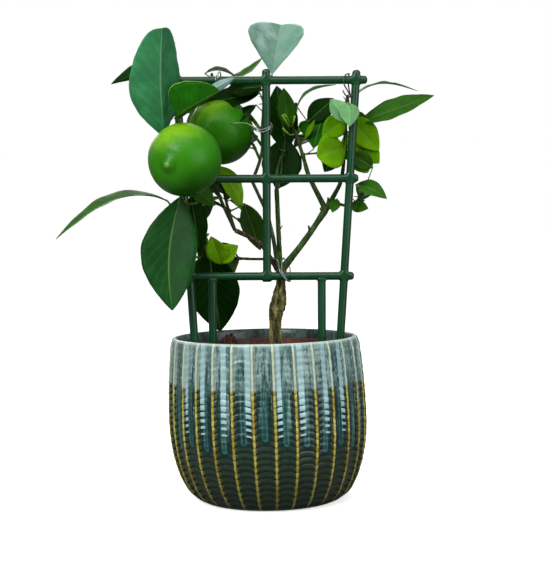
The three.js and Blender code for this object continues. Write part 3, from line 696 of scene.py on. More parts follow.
class Heap:
    """Surfaces gathered as arrays. Each has a material number, and may carry a map of two numbers."""

    def __init__(self):
        self.points, self.maps, self.count = [], [], 0
        self.quads, self.fans, self.quad_slots, self.fan_slots = [], [np.zeros((0, 3), int)], [], []

    def add(self, grid, slot=0, wrap=True, ends=True, marks=None):
        """Adds a grid of rows and columns. wrap joins the last column to the first, and ends closes
        the first and last row with a middle point. A surface that comes out inside out is turned."""
        rows, columns = grid.shape[:2]
        points = grid.reshape(-1, 3)
        marks = np.zeros((rows * columns, 2)) if marks is None else marks.reshape(-1, 2)
        across = columns if wrap else columns - 1
        row, column = np.meshgrid(np.arange(rows - 1), np.arange(across), indexing="ij")
        beside = (column + 1) % columns
        near, far = row * columns, (row + 1) * columns
        quads = np.stack([near + column, near + beside, far + beside, far + column], axis=-1).reshape(-1, 4)
        slots = np.broadcast_to(slot, (rows - 1, across)).reshape(-1)
        fans = np.zeros((0, 3), int)
        if ends:
            size = len(points)
            first, last = np.arange(columns), (rows - 1) * columns + np.arange(columns)
            fans = np.vstack([
                np.stack([np.full(columns, size), np.roll(first, -1), first], axis=1),
                np.stack([np.full(columns, size + 1), last, np.roll(last, -1)], axis=1),
            ])
            points = np.vstack([points, points[first].mean(0), points[last].mean(0)])
            marks = np.vstack([marks, marks[first].mean(0), marks[last].mean(0)])
        triangles = np.vstack([quads[:, [0, 1, 2]], quads[:, [0, 2, 3]], fans])
        a, b, c = (points[triangles[:, corner]] for corner in range(3))
        if np.einsum("ij,ij->i", a, np.cross(b, c)).sum() < 0:
            quads, fans = quads[:, ::-1], fans[:, ::-1]
        self.quads.append(quads + self.count)
        self.fans.append(fans + self.count)
        self.quad_slots.append(slots)
        self.fan_slots.append(np.repeat([slots[0], slots[-1]], len(fans) // 2))
        self.points.append(points)
        self.maps.append(marks)
        self.count += len(points)

    def build(self, name, materials, nodes):
        """Makes the object in metres, with a map named grown. It rides on the root body and stands for
        the nodes."""
        mesh = bpy.data.meshes.new(name)
        quads, fans = np.vstack(self.quads), np.vstack(self.fans)
        corners = np.concatenate([quads.ravel(), fans.ravel()]).astype(np.int32)
        starts = np.concatenate([np.arange(len(quads)) * 4, len(quads) * 4 + np.arange(len(fans)) * 3])
        slots = np.concatenate([*self.quad_slots, *self.fan_slots]).astype(np.int32)
        mesh.vertices.add(self.count)
        mesh.vertices.foreach_set("co", (np.vstack(self.points) * MM).astype(np.float32).ravel())
        mesh.loops.add(len(corners))
        mesh.loops.foreach_set("vertex_index", corners)
        mesh.polygons.add(len(starts))
        mesh.polygons.foreach_set("loop_start", starts.astype(np.int32))
        mesh.polygons.foreach_set("material_index", slots)
        mesh.polygons.foreach_set("use_smooth", np.ones(len(starts), bool))
        mesh.update(calc_edges=True)
        grown = mesh.uv_layers.new(name="grown")
        grown.data.foreach_set("uv", np.vstack(self.maps)[corners].astype(np.float32).ravel())
        for material in materials:
            mesh.materials.append(material)
        piece = bpy.data.objects.new(name, mesh)
        bpy.context.scene.collection.objects.link(piece)
        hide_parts(*([nodes] if isinstance(nodes, str) else nodes))
        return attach(piece, "root")


def turned(profile, headings, grow=0.0):
    """Rings round Z: a profile of radius and height, carried round the headings, in degrees. grow is
    added to the radius and may differ from point to point."""
    radius = profile[:, :1] + grow
    turn = np.radians(headings)[None, :]
    height = np.broadcast_to(profile[:, 1:], (len(profile), len(headings)))
    radius = np.broadcast_to(radius, height.shape)
    return np.stack([radius * np.cos(turn), radius * np.sin(turn), height], axis=-1)


def swept(points, radii, sides, turn=0.0):
    """A round section carried along points. Its first axis is the world axis that the route runs least
    along, taken square to the route at each point. Radii may differ by point, or by point and side."""
    ahead = unit(np.gradient(points, axis=0))
    least = np.eye(3)[np.abs(ahead).mean(0).argmin()]
    side = unit(least - ahead * (ahead @ least)[:, None])
    up = np.cross(ahead, side)
    angle = np.linspace(0, 2 * np.pi, sides, endpoint=False) + turn
    around = side[:, None] * np.cos(angle)[None, :, None] + up[:, None] * np.sin(angle)[None, :, None]
    radii = np.asarray(radii, float)
    radii = radii.reshape(len(points), -1, 1) if radii.ndim else radii
    return points[:, None] + around * radii


def rod_stations(length, edge, spacing):
    """Distances along a rod, evenly spaced, and close together where its ends round over."""
    bend = edge * (1 - np.cos(np.linspace(0, np.pi / 2, 7)))
    middle = np.arange(edge + spacing, length - edge - spacing / 2, spacing)
    return np.concatenate([bend, middle, length - bend[::-1]])


def rounding(stations, edge):
    """How much less the radius is near the ends: a quarter circle of the radius edge."""
    from_end = np.minimum(stations, stations[-1] - stations)
    inside = np.clip(1 - from_end / edge, 0, 1)
    return edge * (1 - np.sqrt(1 - 0.998 * inside**2))


def points_at(points, stations):
    """The points at given lengths along a route."""
    lengths = lengths_of(points)
    return np.stack([np.interp(stations, lengths, points[:, axis]) for axis in range(3)], axis=1)


def wander(values, seed, size=1.0, waves=7):
    """Smooth noise of about -1 to 1 along any number of coordinates: a sum of sine waves whose
    directions and starts come from the seed, each about size long."""
    rng = np.random.default_rng(seed)
    values = np.asarray(values, float)
    total = np.zeros(values.shape[:-1])
    for _ in range(waves):
        way = unit(rng.normal(size=values.shape[-1])) * 2 * np.pi / size * rng.uniform(0.6, 1.6)
        total += np.sin(values @ way + rng.uniform(0, 2 * np.pi))
    return total / math.sqrt(waves)


# Materials


class Finish:
    """A material's nodes. Its parts are made one after another and joined up by their sockets."""

    def __init__(self, name, base=(0.5, 0.5, 0.5), roughness=0.5, **sockets):
        self.material = bpy.data.materials.new(name)
        self.material.use_nodes = True
        self.tree = self.material.node_tree
        self.shader = self.tree.nodes["Principled BSDF"]
        self.set("Base Color", base)
        self.set("Roughness", roughness)
        for socket, value in sockets.items():
            self.set(socket.replace("_", " "), value)
        self.object = self.node("ShaderNodeTexCoord").outputs["Object"]

    def set(self, socket, value):
        """Sets or joins one of the shader's sockets."""
        self.fill(self.shader.inputs[socket], value)

    def fill(self, socket, value):
        """Sets a socket to a number or a colour, or joins it to an output."""
        if isinstance(value, bpy.types.NodeSocket):
            self.tree.links.new(value, socket)
        elif socket.type == "RGBA":
            socket.default_value = (*tuple(value)[:3], 1)
        else:
            socket.default_value = value

    def node(self, kind, inputs=None, **settings):
        """Makes a node with its settings and fills its inputs, named or counted."""
        made = self.tree.nodes.new(kind)
        for setting, value in settings.items():
            setattr(made, setting, value)
        for socket, value in (inputs or {}).items():
            self.fill(made.inputs[socket], value)
        return made

    def sum(self, operation, first, second=0.0, third=0.0):
        """One sum of up to three numbers."""
        made = self.node("ShaderNodeMath", {0: first, 1: second, 2: third}, operation=operation)
        return made.outputs[0]

    def fade(self, value, low, high):
        """0 at low and 1 at high, with a smooth step between."""
        inputs = {"Value": value, "From Min": low, "From Max": high}
        made = self.node("ShaderNodeMapRange", inputs, interpolation_type="SMOOTHSTEP")
        return made.outputs["Result"]

    def share(self, amount, *masks):
        """An amount times any number of masks."""
        for mask in masks:
            amount = self.sum("MULTIPLY", mask, amount)
        return amount

    def mix(self, share, first, second):
        """The first colour, changed to the second by a share."""
        made = self.node("ShaderNodeMix", data_type="RGBA")
        for index, value in ((0, share), (6, first), (7, second)):
            self.fill(made.inputs[index], value)
        return made.outputs[2]

    def noise(self, scale, detail=3.0, stretch=(1, 1, 1), rough=0.5):
        """Noise in object space, in waves a metre, drawn out by a stretch."""
        where = self.node("ShaderNodeMapping", {"Vector": self.object, "Scale": stretch})
        inputs = {"Vector": where.outputs[0], "Scale": scale, "Detail": detail, "Roughness": rough}
        return self.node("ShaderNodeTexNoise", inputs).outputs["Fac"]

    def cells(self, scale, feature="F1"):
        """The distance to the nearest of many scattered points, or to the edge of its cell."""
        inputs = {"Vector": self.object, "Scale": scale}
        return self.node("ShaderNodeTexVoronoi", inputs, feature=feature).outputs["Distance"]

    def map(self):
        """The two numbers of the surface's own map."""
        place = self.node("ShaderNodeUVMap", uv_map="grown").outputs[0]
        parts = self.node("ShaderNodeSeparateXYZ", {0: place})
        return parts.outputs[0], parts.outputs[1]

    def bump(self, height, depth, strength=1.0):
        """Relief of a depth in metres from a height of 0 to 1. Later relief is laid over earlier."""
        made = self.node("ShaderNodeBump", {"Height": height, "Distance": depth, "Strength": strength})
        before = self.shader.inputs["Normal"]
        if before.is_linked:
            self.fill(made.inputs["Normal"], before.links[0].from_socket)
        self.fill(before, made.outputs[0])


def size(name, description, millimetres):
    """A length that a user may change, given in millimetres."""
    default = millimetres * MM
    return FloatProperty(name=name, description=description, default=default, unit="LENGTH", precision=5)


def colour(name, description, *shown):
    """A colour that a user may change, given as a screen shows it."""
    default = paint(*shown)
    return FloatVectorProperty(
        name=name, description=description, default=default, subtype="COLOR", min=0, max=1
    )


# The cover pot

# Ten neighbouring panels, seen in the photograph and repeated round the pot: the height that each glaze
# run ends at, and where the pale band of its painted reflection stands, from -1 at its left rib to 1 at its
# right, or 9 for none
RUN_TIPS = (44, 42.3, 41.7, 47.7, 50.5, 47, 45.6, 40.6, 44, 40.8)
REFLECTION_BANDS = (-0.6, -0.3, 0.1, 0.55, 9, -0.58, -0.35, 0.25, 0.4, 9)
RUN_FIRST = -5
RUN_HALF = 0.44
RUN_ROUND = 7.25
TIP_SCALE = 100
GROOVE_BOW = 0.35
POT_COLUMNS = (-0.16, -0.12, -0.09, -0.06, -0.03, 0, 0.03, 0.06,
               0.09, 0.12, 0.16, 0.24, 0.34, 0.5, 0.66, 0.76)


class PotSettings(PropertyGroup):
    flute: size("Panel hollow", "How hollow each panel is between its ribs", 0.7)
    groove: size("Groove depth", "Depth of the grooves across each panel", 0.6)
    pitch: size("Groove pitch", "Height from one groove to the next", 4.45)
    run_thickness: size("Run thickness", "Thickness of the glaze runs", 0.45)
    yellow_from: size("Yellow from", "Height under which the ribs turn yellow", 86)
    milk: colour("Milky glaze", "Glaze round the shoulder", 124, 152, 148)
    run: colour("Run glaze", "Glaze of the runs", 10, 58, 62)
    panel: colour("Panel glaze", "Glaze between and under the runs", 32, 54, 42)
    rib: colour("Rib glaze", "Yellow glaze on the ribs", 146, 134, 30)


def pot_radius(height):
    """The pot's outer radius: a quarter ellipse up to the belt, then a shoulder that draws in."""
    low = np.clip(1 - height / POT["belt_height"], 0, 1)
    high = np.clip(height - POT["belt_height"], 0, None) / (POT["height"] - POT["belt_height"])
    bowl = POT["foot"] + (POT["belt"] - POT["foot"]) * np.sqrt(1 - low**2)
    return bowl - POT["shoulder_drop"] * high**2


def glaze_material(look):
    """Milky streaked glaze above, yellow ribs with teeth beside them and dark panels below, teal runs down
    each panel, a painted reflection as a pale band that breaks into dashes, painted shade darker towards the
    foot, and a painted highlight along the rim. The map holds each panel's reflection place and tip."""
    made = Finish("drip_glaze", IOR=1.52, Specular_IOR_Level=0.35)
    x, y, z = made.node("ShaderNodeSeparateXYZ", {0: made.object}).outputs
    ribs_a_radian = POT["ribs"] / (2 * math.pi)
    turn = made.sum("ARCTAN2", y, made.sum("MULTIPLY_ADD", z, POT["lean"], x))
    around = made.sum("MULTIPLY_ADD", turn, ribs_a_radian, -math.radians(POT["rib_start"]) * ribs_a_radian)
    side = made.sum("MULTIPLY_ADD", made.sum("FRACT", around), 2.0, -1.0)
    aside = made.sum("ABSOLUTE", side)
    near = made.sum("MULTIPLY_ADD", aside, -0.5, 0.5)
    height = made.sum("DIVIDE", z, MM)
    # Each panel's place for its painted reflection, and its run tip, from the map
    reflection_at, tip = made.map()
    streaks = made.noise(240, 4, (1, 1, 0.14), 0.62)
    threads = made.noise(420, 3, (1, 1, 0.05), 0.6)
    specks = made.noise(900, 3, (1, 1, 0.5), 0.6)
    cloud = made.noise(60, 3)

    wavering = made.sum("MULTIPLY_ADD", made.sum("SUBTRACT", streaks, 0.5), 0.22, aside)
    over_tip = made.sum("MULTIPLY_ADD", tip, -float(TIP_SCALE), height)
    below = made.sum("MINIMUM", made.sum("SUBTRACT", over_tip, RUN_HALF * RUN_ROUND), 0.0)
    drop = made.sum("DIVIDE", below, RUN_ROUND)
    far = made.sum("SQRT", made.sum("MULTIPLY_ADD", wavering, wavering, made.sum("MULTIPLY", drop, drop)))
    run = made.fade(far, RUN_HALF + 0.03, RUN_HALF - 0.05)
    outline = made.share(made.fade(far, RUN_HALF + 0.13, RUN_HALF + 0.01),
                         made.fade(far, RUN_HALF - 0.16, RUN_HALF - 0.03))
    ridge = made.share(made.fade(far, 0.1, 0.17), made.fade(far, 0.28, 0.2))

    phase = made.sum("ADD", made.sum("DIVIDE", z, look.pitch),
                     made.share(GROOVE_BOW, made.sum("MULTIPLY", aside, aside)))
    level = made.sum("PINGPONG", phase, 0.5)
    groove = made.fade(level, 0.17, 0.03)
    crest = made.fade(level, 0.3, 0.46)
    # Painted reflection: a pale band at each panel's given place, which lower down breaks into dashes on the
    # groove crests
    off = made.sum("ABSOLUTE", made.sum("SUBTRACT", side, reflection_at))
    painted_reflection = made.fade(made.sum("MULTIPLY_ADD", specks, 0.14, off), 0.4, 0.3)
    broken = made.sum("MULTIPLY_ADD", height, 0.014, made.sum("SUBTRACT", level, 1.12))
    reflection_dash = made.share(made.fade(broken, 0.0, 0.05), painted_reflection, made.fade(height, 50.5, 52.5))

    # Painted shade: the panels are painted darker towards the foot
    lower = made.fade(height, 60.0, 6.0)
    panel = made.mix(made.share(0.6, lower), look.panel, paint(22, 30, 20))
    panel = made.mix(made.share(0.5, made.fade(cloud, 0.45, 0.7)), panel, paint(38, 48, 24))
    panel = made.mix(made.share(0.25, crest), panel, paint(62, 80, 62))
    panel = made.mix(made.share(0.3, made.fade(specks, 0.5, 0.75)), panel, paint(60, 80, 68))
    panel = made.mix(made.share(0.8, groove), panel, paint(8, 22, 12))
    deep = made.share(0.8, made.fade(over_tip, -4.0, 12.0))
    panel = made.mix(deep, panel, paint(8, 42, 42))

    teal = made.mix(made.share(0.6, made.fade(streaks, 0.4, 0.62)), look.run, paint(44, 92, 90))
    teal = made.mix(made.share(0.55, ridge), teal, paint(80, 122, 106))
    lower_glaze = made.mix(run, panel, teal)
    lower_glaze = made.mix(made.share(0.85, outline), lower_glaze, paint(5, 38, 38))
    scratches = made.share(0.6, made.fade(threads, 0.56, 0.66), made.fade(over_tip, 6.0, 26.0))
    lower_glaze = made.mix(scratches, lower_glaze, paint(128, 170, 168))
    lower_glaze = made.mix(made.share(0.5, made.fade(threads, 0.44, 0.34)), lower_glaze, paint(4, 34, 34))
    # The painted reflection's pale dashes on the groove crests
    lower_glaze = made.mix(made.share(0.9, reflection_dash), lower_glaze, paint(172, 208, 214))

    teeth = made.mix(made.fade(level, 0.12, 0.26), paint(8, 22, 14), paint(78, 84, 26))
    right_of = made.sum("MULTIPLY_ADD", made.fade(side, 0.0, -0.3), 0.45, 0.4)
    beside = made.share(made.fade(near, 0.16, 0.11), made.fade(near, 0.04, 0.06), right_of)
    lower_glaze = made.mix(beside, lower_glaze, teeth)
    yellow = made.mix(made.fade(specks, 0.35, 0.65), look.rib, paint(204, 196, 104))
    yellow = made.mix(made.share(0.6, made.fade(cloud, 0.5, 0.62)), yellow, paint(128, 88, 22))
    # Painted shade: the yellow ribs are painted darker towards the foot
    yellow = made.mix(made.share(0.55, lower), yellow, paint(80, 84, 38))
    yellow = made.mix(made.share(0.35, groove), yellow, paint(70, 62, 18))
    on_line = made.fade(made.sum("MULTIPLY_ADD", groove, 0.016, near), 0.075, 0.05)
    lower_glaze = made.mix(on_line, lower_glaze, yellow)

    milk = made.mix(made.fade(streaks, 0.42, 0.58), look.milk, paint(74, 108, 106))
    milk = made.mix(made.share(0.6, made.fade(specks, 0.55, 0.7)), milk, paint(182, 204, 198))
    milk = made.mix(made.share(0.8, made.fade(specks, 0.44, 0.32)), milk, paint(44, 78, 78))
    dark = made.share(0.9, made.fade(threads, 0.5, 0.58), made.fade(near, 0.1, 0.2),
                      made.fade(height, 122.0, 92.0))
    milk = made.mix(dark, milk, paint(8, 48, 52))
    # The painted reflection as a pale band down the milky glaze
    milk = made.mix(made.share(0.7, painted_reflection), milk, paint(166, 200, 204))
    milk = made.mix(made.share(0.6, made.fade(side, -0.62, -0.74)), milk, paint(142, 154, 138))
    milk = made.mix(made.share(0.8, made.fade(near, 0.07, 0.035)), milk, paint(196, 206, 180))

    start = look.yellow_from / MM
    ragged = made.sum("MULTIPLY_ADD", made.sum("SUBTRACT", streaks, 0.5), 26.0, height)
    in_panel = made.fade(ragged, start - 8.0, start + 9.0)
    on_rib = made.fade(made.sum("MULTIPLY_ADD", specks, 3.0, height), start, start + 2.5)
    rib_or_panel = made.fade(near, 0.17, 0.13)
    above = made.sum("ADD", made.share(rib_or_panel, on_rib),
                     made.share(made.sum("SUBTRACT", 1.0, rib_or_panel), in_panel))
    coat = made.mix(above, lower_glaze, milk)
    # Painted highlight: a thin pale band along the top of the rim
    coat = made.mix(made.share(0.7, made.fade(height, 114.8, 116.4)), coat, paint(188, 206, 196))
    coat = made.mix(made.fade(height, 1.8, 0.9), coat, paint(176, 170, 152))
    made.set("Base Color", coat)
    made.set("Roughness", made.sum("MULTIPLY_ADD", specks, 0.2, 0.12))
    made.bump(specks, 0.0002, 0.5)
    return made.material


def inside_glaze_material():
    """Pale glaze inside the rim, crazed, darker along its crazing and in soft cloudy patches."""
    made = Finish("inside_glaze", roughness=0.25, IOR=1.5)
    cloud = made.noise(120, 5, (1, 1, 0.5), 0.65)
    crackle = made.fade(made.cells(260, "DISTANCE_TO_EDGE"), 0.1, 0.02)
    glaze = made.mix(made.fade(cloud, 0.35, 0.65), paint(84, 112, 106), paint(30, 52, 50))
    made.set("Base Color", made.mix(made.share(0.5, crackle), glaze, paint(24, 40, 40)))
    made.bump(cloud, 0.0003, 0.4)
    return made.material


class LEMON_OT_pot(Operator):
    """Build the ribbed cover pot with its grooved panels and glaze runs"""

    bl_idname = "lemon.pot"
    bl_label = "Cover pot"

    def execute(self, context):
        look = context.scene.lemon_pot
        top = POT["height"]
        heights = np.concatenate([[0, 0.5, 1.2], np.arange(2, 86, 0.66), np.linspace(86.5, top - 1.6, 28)])
        wall = np.stack([pot_radius(heights), heights], axis=1)
        lip = float(pot_radius(top))
        over = np.linspace(0, np.pi, 9)[1:]
        brim = np.stack([lip - 1.75 * (1 - np.cos(over)), top - 1.6 + 1.6 * np.sin(over)], axis=1)
        inside = np.linspace(top - 4, POT["floor"] + 3, 10)
        bore = np.stack([pot_radius(inside) - POT["wall"], inside], axis=1)
        foot = np.array([[1.0, 0.6], [POT["foot"] - 6, 0.6], [POT["foot"] - 4, 0.0]])
        floor = np.array([[38.0, POT["floor"]], [1.0, POT["floor"]]])
        profile = np.vstack([foot, wall, brim, bore, floor])

        around = (np.arange(POT["ribs"])[:, None] + np.array(POT_COLUMNS)).ravel()[None, :]
        near = np.abs((around + 0.5) % 1 - 0.5)
        aside = 1 - 2 * near
        height = profile[:, 1:]
        number = (np.floor(around).astype(int) - RUN_FIRST) % len(RUN_TIPS)
        # Each panel's run tip and the place of its painted reflection
        tips, reflection_places = np.array(RUN_TIPS)[number], np.array(REFLECTION_BANDS)[number]
        drop = np.minimum(height - tips - RUN_HALF * RUN_ROUND, 0) / RUN_ROUND
        run = 1 / (1 + np.exp((np.hypot(aside, drop) - RUN_HALF) * 24))
        rib = np.exp(-((near / 0.075) ** 4))
        phase = height * MM / look.pitch + GROOVE_BOW * aside**2
        groove = 1 - np.abs(np.sin(np.pi * phase)) ** 0.7
        place = np.stack(np.broadcast_arrays(around * 7.2, height), axis=-1)
        relief = 0.12 * wander(place, 5, 9) + POT["rib_height"] * rib
        relief -= look.flute / MM * (1 - aside**2) * (1 - rib)
        relief -= look.groove / MM * groove * (1 - 0.55 * rib)
        relief += look.run_thickness / MM * run * (1 - rib)
        outside = np.zeros(len(profile))
        outside[3 : 3 + len(wall)] = np.clip((heights - 0.4) / 6, 0, 1) * np.clip((top - heights) / 6, 0.3, 1)
        outside[3 + len(wall) : 7 + len(wall)] = np.linspace(0.28, 0, 4)
        slots = np.zeros((len(profile) - 1, 1), int)
        slots[7 + len(wall) :] = 1
        heap = Heap()
        headings = POT["rib_start"] + around[0] * 360 / POT["ribs"]
        grid = turned(profile, headings, relief * outside[:, None])
        grid[..., 0] -= POT["lean"] * grid[..., 2]
        # The map holds each panel's painted reflection place and run tip
        marks = np.stack(np.broadcast_arrays(reflection_places, tips / TIP_SCALE, relief)[:2], axis=-1)
        heap.add(grid, slots, marks=marks)
        heap.build("cover_pot", [glaze_material(look), inside_glaze_material()], "pot")
        return {"FINISHED"}


# The nursery pot, its potting mix and the bark chip


class BeddingSettings(PropertyGroup):
    crumb: size("Crumb height", "How rough the potting mix is", 1.6)
    grains: IntProperty(
        name="Grains", description="Loose bits lying on the potting mix", default=230, min=0, max=600
    )
    plastic: colour("Nursery pot", "Plastic of the nursery pot", 92, 40, 30)
    mix: colour("Potting mix", "Damp peat", 36, 22, 14)
    bark: colour("Bark chip", "Weathered bark", 62, 30, 20)


def nursery_material(look):
    """Matte moulded plastic, scuffed and dusted with soil."""
    made = Finish("nursery_plastic", roughness=0.55, IOR=1.46)
    scuffs = made.noise(700, 4, (1, 1, 0.3), 0.6)
    dust = made.noise(140, 4)
    coat = made.mix(made.fade(scuffs, 0.4, 0.7), look.plastic, paint(122, 66, 50))
    made.set("Base Color", made.mix(made.share(0.5, made.fade(dust, 0.52, 0.7)), coat, paint(70, 48, 34)))
    made.bump(scuffs, 0.0001, 0.5)
    return made.material


def crumbly_material(name, base, light, dark, scale):
    """Damp crumbs of several browns, rough and dull."""
    made = Finish(name, roughness=0.92)
    coarse = made.noise(scale, 5, (1, 1, 1), 0.7)
    fine = made.cells(scale * 2.4)
    coat = made.mix(made.fade(coarse, 0.42, 0.66), base, light)
    made.set("Base Color", made.mix(made.share(0.8, made.fade(fine, 0.45, 0.05)), coat, dark))
    made.bump(coarse, 0.0012, 0.8)
    return made.material


def lump(centre, reach, seed, rows, columns, rough, flakes=0.0):
    """A closed lump: a ball of latitude and longitude whose radius wanders, drawn out by its reach along
    each axis, with flakes as steps round its height."""
    down, turn = np.linspace(0.08, np.pi - 0.08, rows), np.linspace(0, 2 * np.pi, columns, endpoint=False)
    down, turn = np.meshgrid(down, turn, indexing="ij")
    ball = np.stack([np.sin(down) * np.cos(turn), np.sin(down) * np.sin(turn), np.cos(down)], axis=-1)
    grow = 1 + rough * wander(ball, seed, 2.2) + rough * 0.5 * wander(ball, seed + 1, 0.8)
    if flakes:
        layers = ball[..., 2] * 5 + wander(ball, seed + 2, 1.5)
        grow = grow + flakes * (layers - np.floor(layers))
    return np.asarray(centre) + ball * grow[..., None] * np.asarray(reach)


class LEMON_OT_bedding(Operator):
    """Build the nursery pot, its potting mix with loose bits, and the bark chip"""

    bl_idname = "lemon.bedding"
    bl_label = "Nursery pot and mix"

    def execute(self, context):
        look = context.scene.lemon_bedding
        floor = POT["floor"] + GAP
        foot, brim, lip, wall = (GROWER[part] for part in ("foot", "brim", "lip", "wall"))
        rim, top = GROWER["brim_height"], GROWER["lip_height"]
        over = np.linspace(0, np.pi, 7)
        half = wall / 2
        roll = np.stack([lip - half + half * np.cos(over), top - half + half * np.sin(over)], axis=1)
        outer = [[1, floor], [foot - 1, floor], [foot, floor + 1], [brim - 0.4, rim - 1.4], [brim, rim - 0.4]]
        outer += [[lip - 0.5, rim], [lip, rim + 0.6]]
        inner = [[lip - wall, rim + 1.2], [brim - wall, rim - wall],
                 [foot - wall, floor + wall], [1, floor + wall]]
        profile = np.vstack([outer, roll, inner]).astype(float)
        heap = Heap()
        turns = np.arange(144) * 2.5
        strengthening = 0.12 * np.cos(np.radians(turns * 24))[None, :] * (profile[:, 1:] > rim - 1)
        heap.add(turned(profile, turns, strengthening))
        heap.build("nursery_pot", [nursery_material(look)], "grower_pot")

        bottom = floor + wall + GAP
        slope = (brim - foot) / (rim - floor)
        low, high = foot - wall - 2 * GAP, foot - wall - 2 * GAP + slope * (rim - 2 * wall - floor - GAP)
        rings = np.linspace(high - 0.6, 1.2, 70)
        profile = np.vstack([[[1, bottom], [low, bottom], [high, rim - wall - 1.2]],
                             np.stack([rings, np.full(70, SOIL_TOP - 0.9)], axis=1)])
        turns = np.arange(180) * 2.0
        grid = turned(profile, turns)
        crumbs = wander(grid, 31, 11) * 0.45 + wander(grid, 32, 4.2) * 0.35 + wander(grid, 33, 1.9) * 0.2
        raised = np.zeros(len(profile))
        raised[3:] = np.clip((high - rings) / 3, 0.1, 1)
        grid[..., 2] += look.crumb / MM * crumbs * raised[:, None]
        heap = Heap()
        heap.add(grid)
        rng = np.random.default_rng(7)
        for step in range(look.grains):
            reach, turn = 51 * math.sqrt(rng.uniform()), rng.uniform(0, 2 * np.pi)
            place = (reach * math.cos(turn), reach * math.sin(turn), SOIL_TOP - 0.2 + rng.uniform(-0.4, 0.5))
            spread = rng.uniform(0.5, 1.5, 3) * (1, 1, 0.7)
            kind = 1 if step % 9 else 2
            heap.add(lump(place, spread if kind == 1 else np.full(3, 0.8), step, 5, 7, 0.25), kind)
        materials = [
            crumbly_material("potting_mix", look.mix, paint(64, 42, 28), paint(14, 9, 6), 420),
            crumbly_material("bark_bits", paint(86, 54, 34), paint(124, 86, 54), paint(36, 22, 14), 700),
            crumbly_material("perlite", paint(214, 208, 196), paint(236, 232, 224),
                             paint(150, 140, 126), 900),
        ]
        heap.build("potting_mix", materials, "soil")

        heap = Heap()
        low, high = (np.array(corner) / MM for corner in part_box("bark_chip"))
        heap.add(lump((low + high) / 2, (high - low) * 0.46, 3, 44, 56, 0.05, 0.07))
        sliver = np.array([(-2, 0, 5), (1, 1, 6), (3, -1, 3), (-4, 1, 2)])
        for step, shift in enumerate(sliver):
            place = (low + high) / 2 + shift - (0, 0, 1)
            heap.add(lump(place, (1.6, 0.8, 2.2), 40 + step, 12, 10, 0.2, 0.12))
        chip = crumbly_material("bark_chip_skin", look.bark, paint(116, 78, 60), paint(16, 8, 6), 500)
        heap.build("bark_chunk", [chip], "bark_chip")
        return {"FINISHED"}


# The trellis and its ties


class TrellisSettings(PropertyGroup):
    fillet: size("Fillet", "Rounding where two rods meet", 1.2)
    end_rounding: size("End rounding", "Rounding of each rod's ends", 2.2)
    parting: size("Parting line", "Height of the mould line along each rod", 0.1)
    plastic: colour("Trellis plastic", "Moulded green plastic", 2, 58, 28)
    wire: colour("Wire", "Bare steel wire", 150, 160, 158)
    sheath: colour("Tie sheath", "Green paper on one tie", 104, 156, 70)


def trellis_material(look):
    """Glossy moulded plastic with faint flow marks and rubbed places."""
    made = Finish("trellis_plastic", IOR=1.5, Specular_IOR_Level=0.42)
    flow = made.noise(90, 4, (1, 1, 0.3), 0.6)
    fine = made.noise(1500, 2)
    rubbed = made.share(0.5, made.fade(flow, 0.45, 0.7))
    made.set("Base Color", made.mix(rubbed, look.plastic, paint(10, 74, 40)))
    made.set("Roughness", made.sum("MULTIPLY_ADD", flow, 0.24, 0.2))
    made.bump(fine, 0.00006, 0.4)
    return made.material


def wire_material(name, shown, metal):
    """Drawn wire, dulled in places."""
    made = Finish(name, roughness=0.35, Metallic=metal)
    dull = made.noise(900, 3)
    made.set("Base Color", made.mix(made.share(0.6, made.fade(dull, 0.45, 0.65)), shown, paint(86, 96, 92)))
    made.set("Roughness", made.sum("MULTIPLY_ADD", dull, 0.3, 0.2))
    return made.material


def rod_surface(ends, crossings, look, sides=24, point=0.0):
    """A rod with rounded ends. At each crossing it widens, in the trellis's own plane, by the rest of a
    circle: fillet less the root of fillet squared less what is left squared. A thin parting line runs
    along both sides. point draws the first end out to a blunt tip."""
    radius, fillet = TRELLIS["rod"], look.fillet / MM
    stations = rod_stations(np.linalg.norm(ends[1] - ends[0]), look.end_rounding / MM, 0.7)
    points = points_at(ends, stations)
    angle = np.linspace(0, 2 * np.pi, sides, endpoint=False)
    widen = np.zeros(len(stations))
    for crossing in crossings:
        gap = np.clip(np.linalg.norm(points - crossing, axis=1) - radius, 0, fillet)
        widen = np.maximum(widen, fillet - np.sqrt(fillet**2 - (fillet - gap) ** 2))
    line = look.parting / MM * np.exp(-((np.cos(angle) / 0.12) ** 2))
    grow = radius - rounding(stations, look.end_rounding / MM) - point * np.clip(1 - stations / 6, 0, 1) ** 2
    return swept(points, grow[:, None] + widen[:, None] * np.sin(angle) ** 2 + line, sides)


def tie_route(place, axis, loop, turns, tilt, start=0.0, rise=0.5):
    """A winding of wire round an axis, tilted, as points."""
    turn = np.radians(start) + np.linspace(0, turns * 2 * np.pi, int(turns * 26))
    level = (turn - turn.mean()) / (2 * np.pi) * rise
    ahead = unit(axis)
    least = np.eye(3)[np.abs(ahead).argmin()]
    side = unit(least - ahead * (ahead @ least))
    up = np.cross(ahead, side)
    lean = math.tan(math.radians(tilt))
    level = level + lean * loop * np.cos(turn)
    around = side * np.cos(turn)[:, None] + up * np.sin(turn)[:, None]
    return np.asarray(place) + around * loop + ahead * level[:, None]


def wire_surface(points, radius):
    """A wire along points, blunt at its ends."""
    stations = rod_stations(lengths_of(points)[-1], radius * 0.9, 0.5)
    return swept(points_at(points, stations), radius - rounding(stations, radius * 0.9), 10)


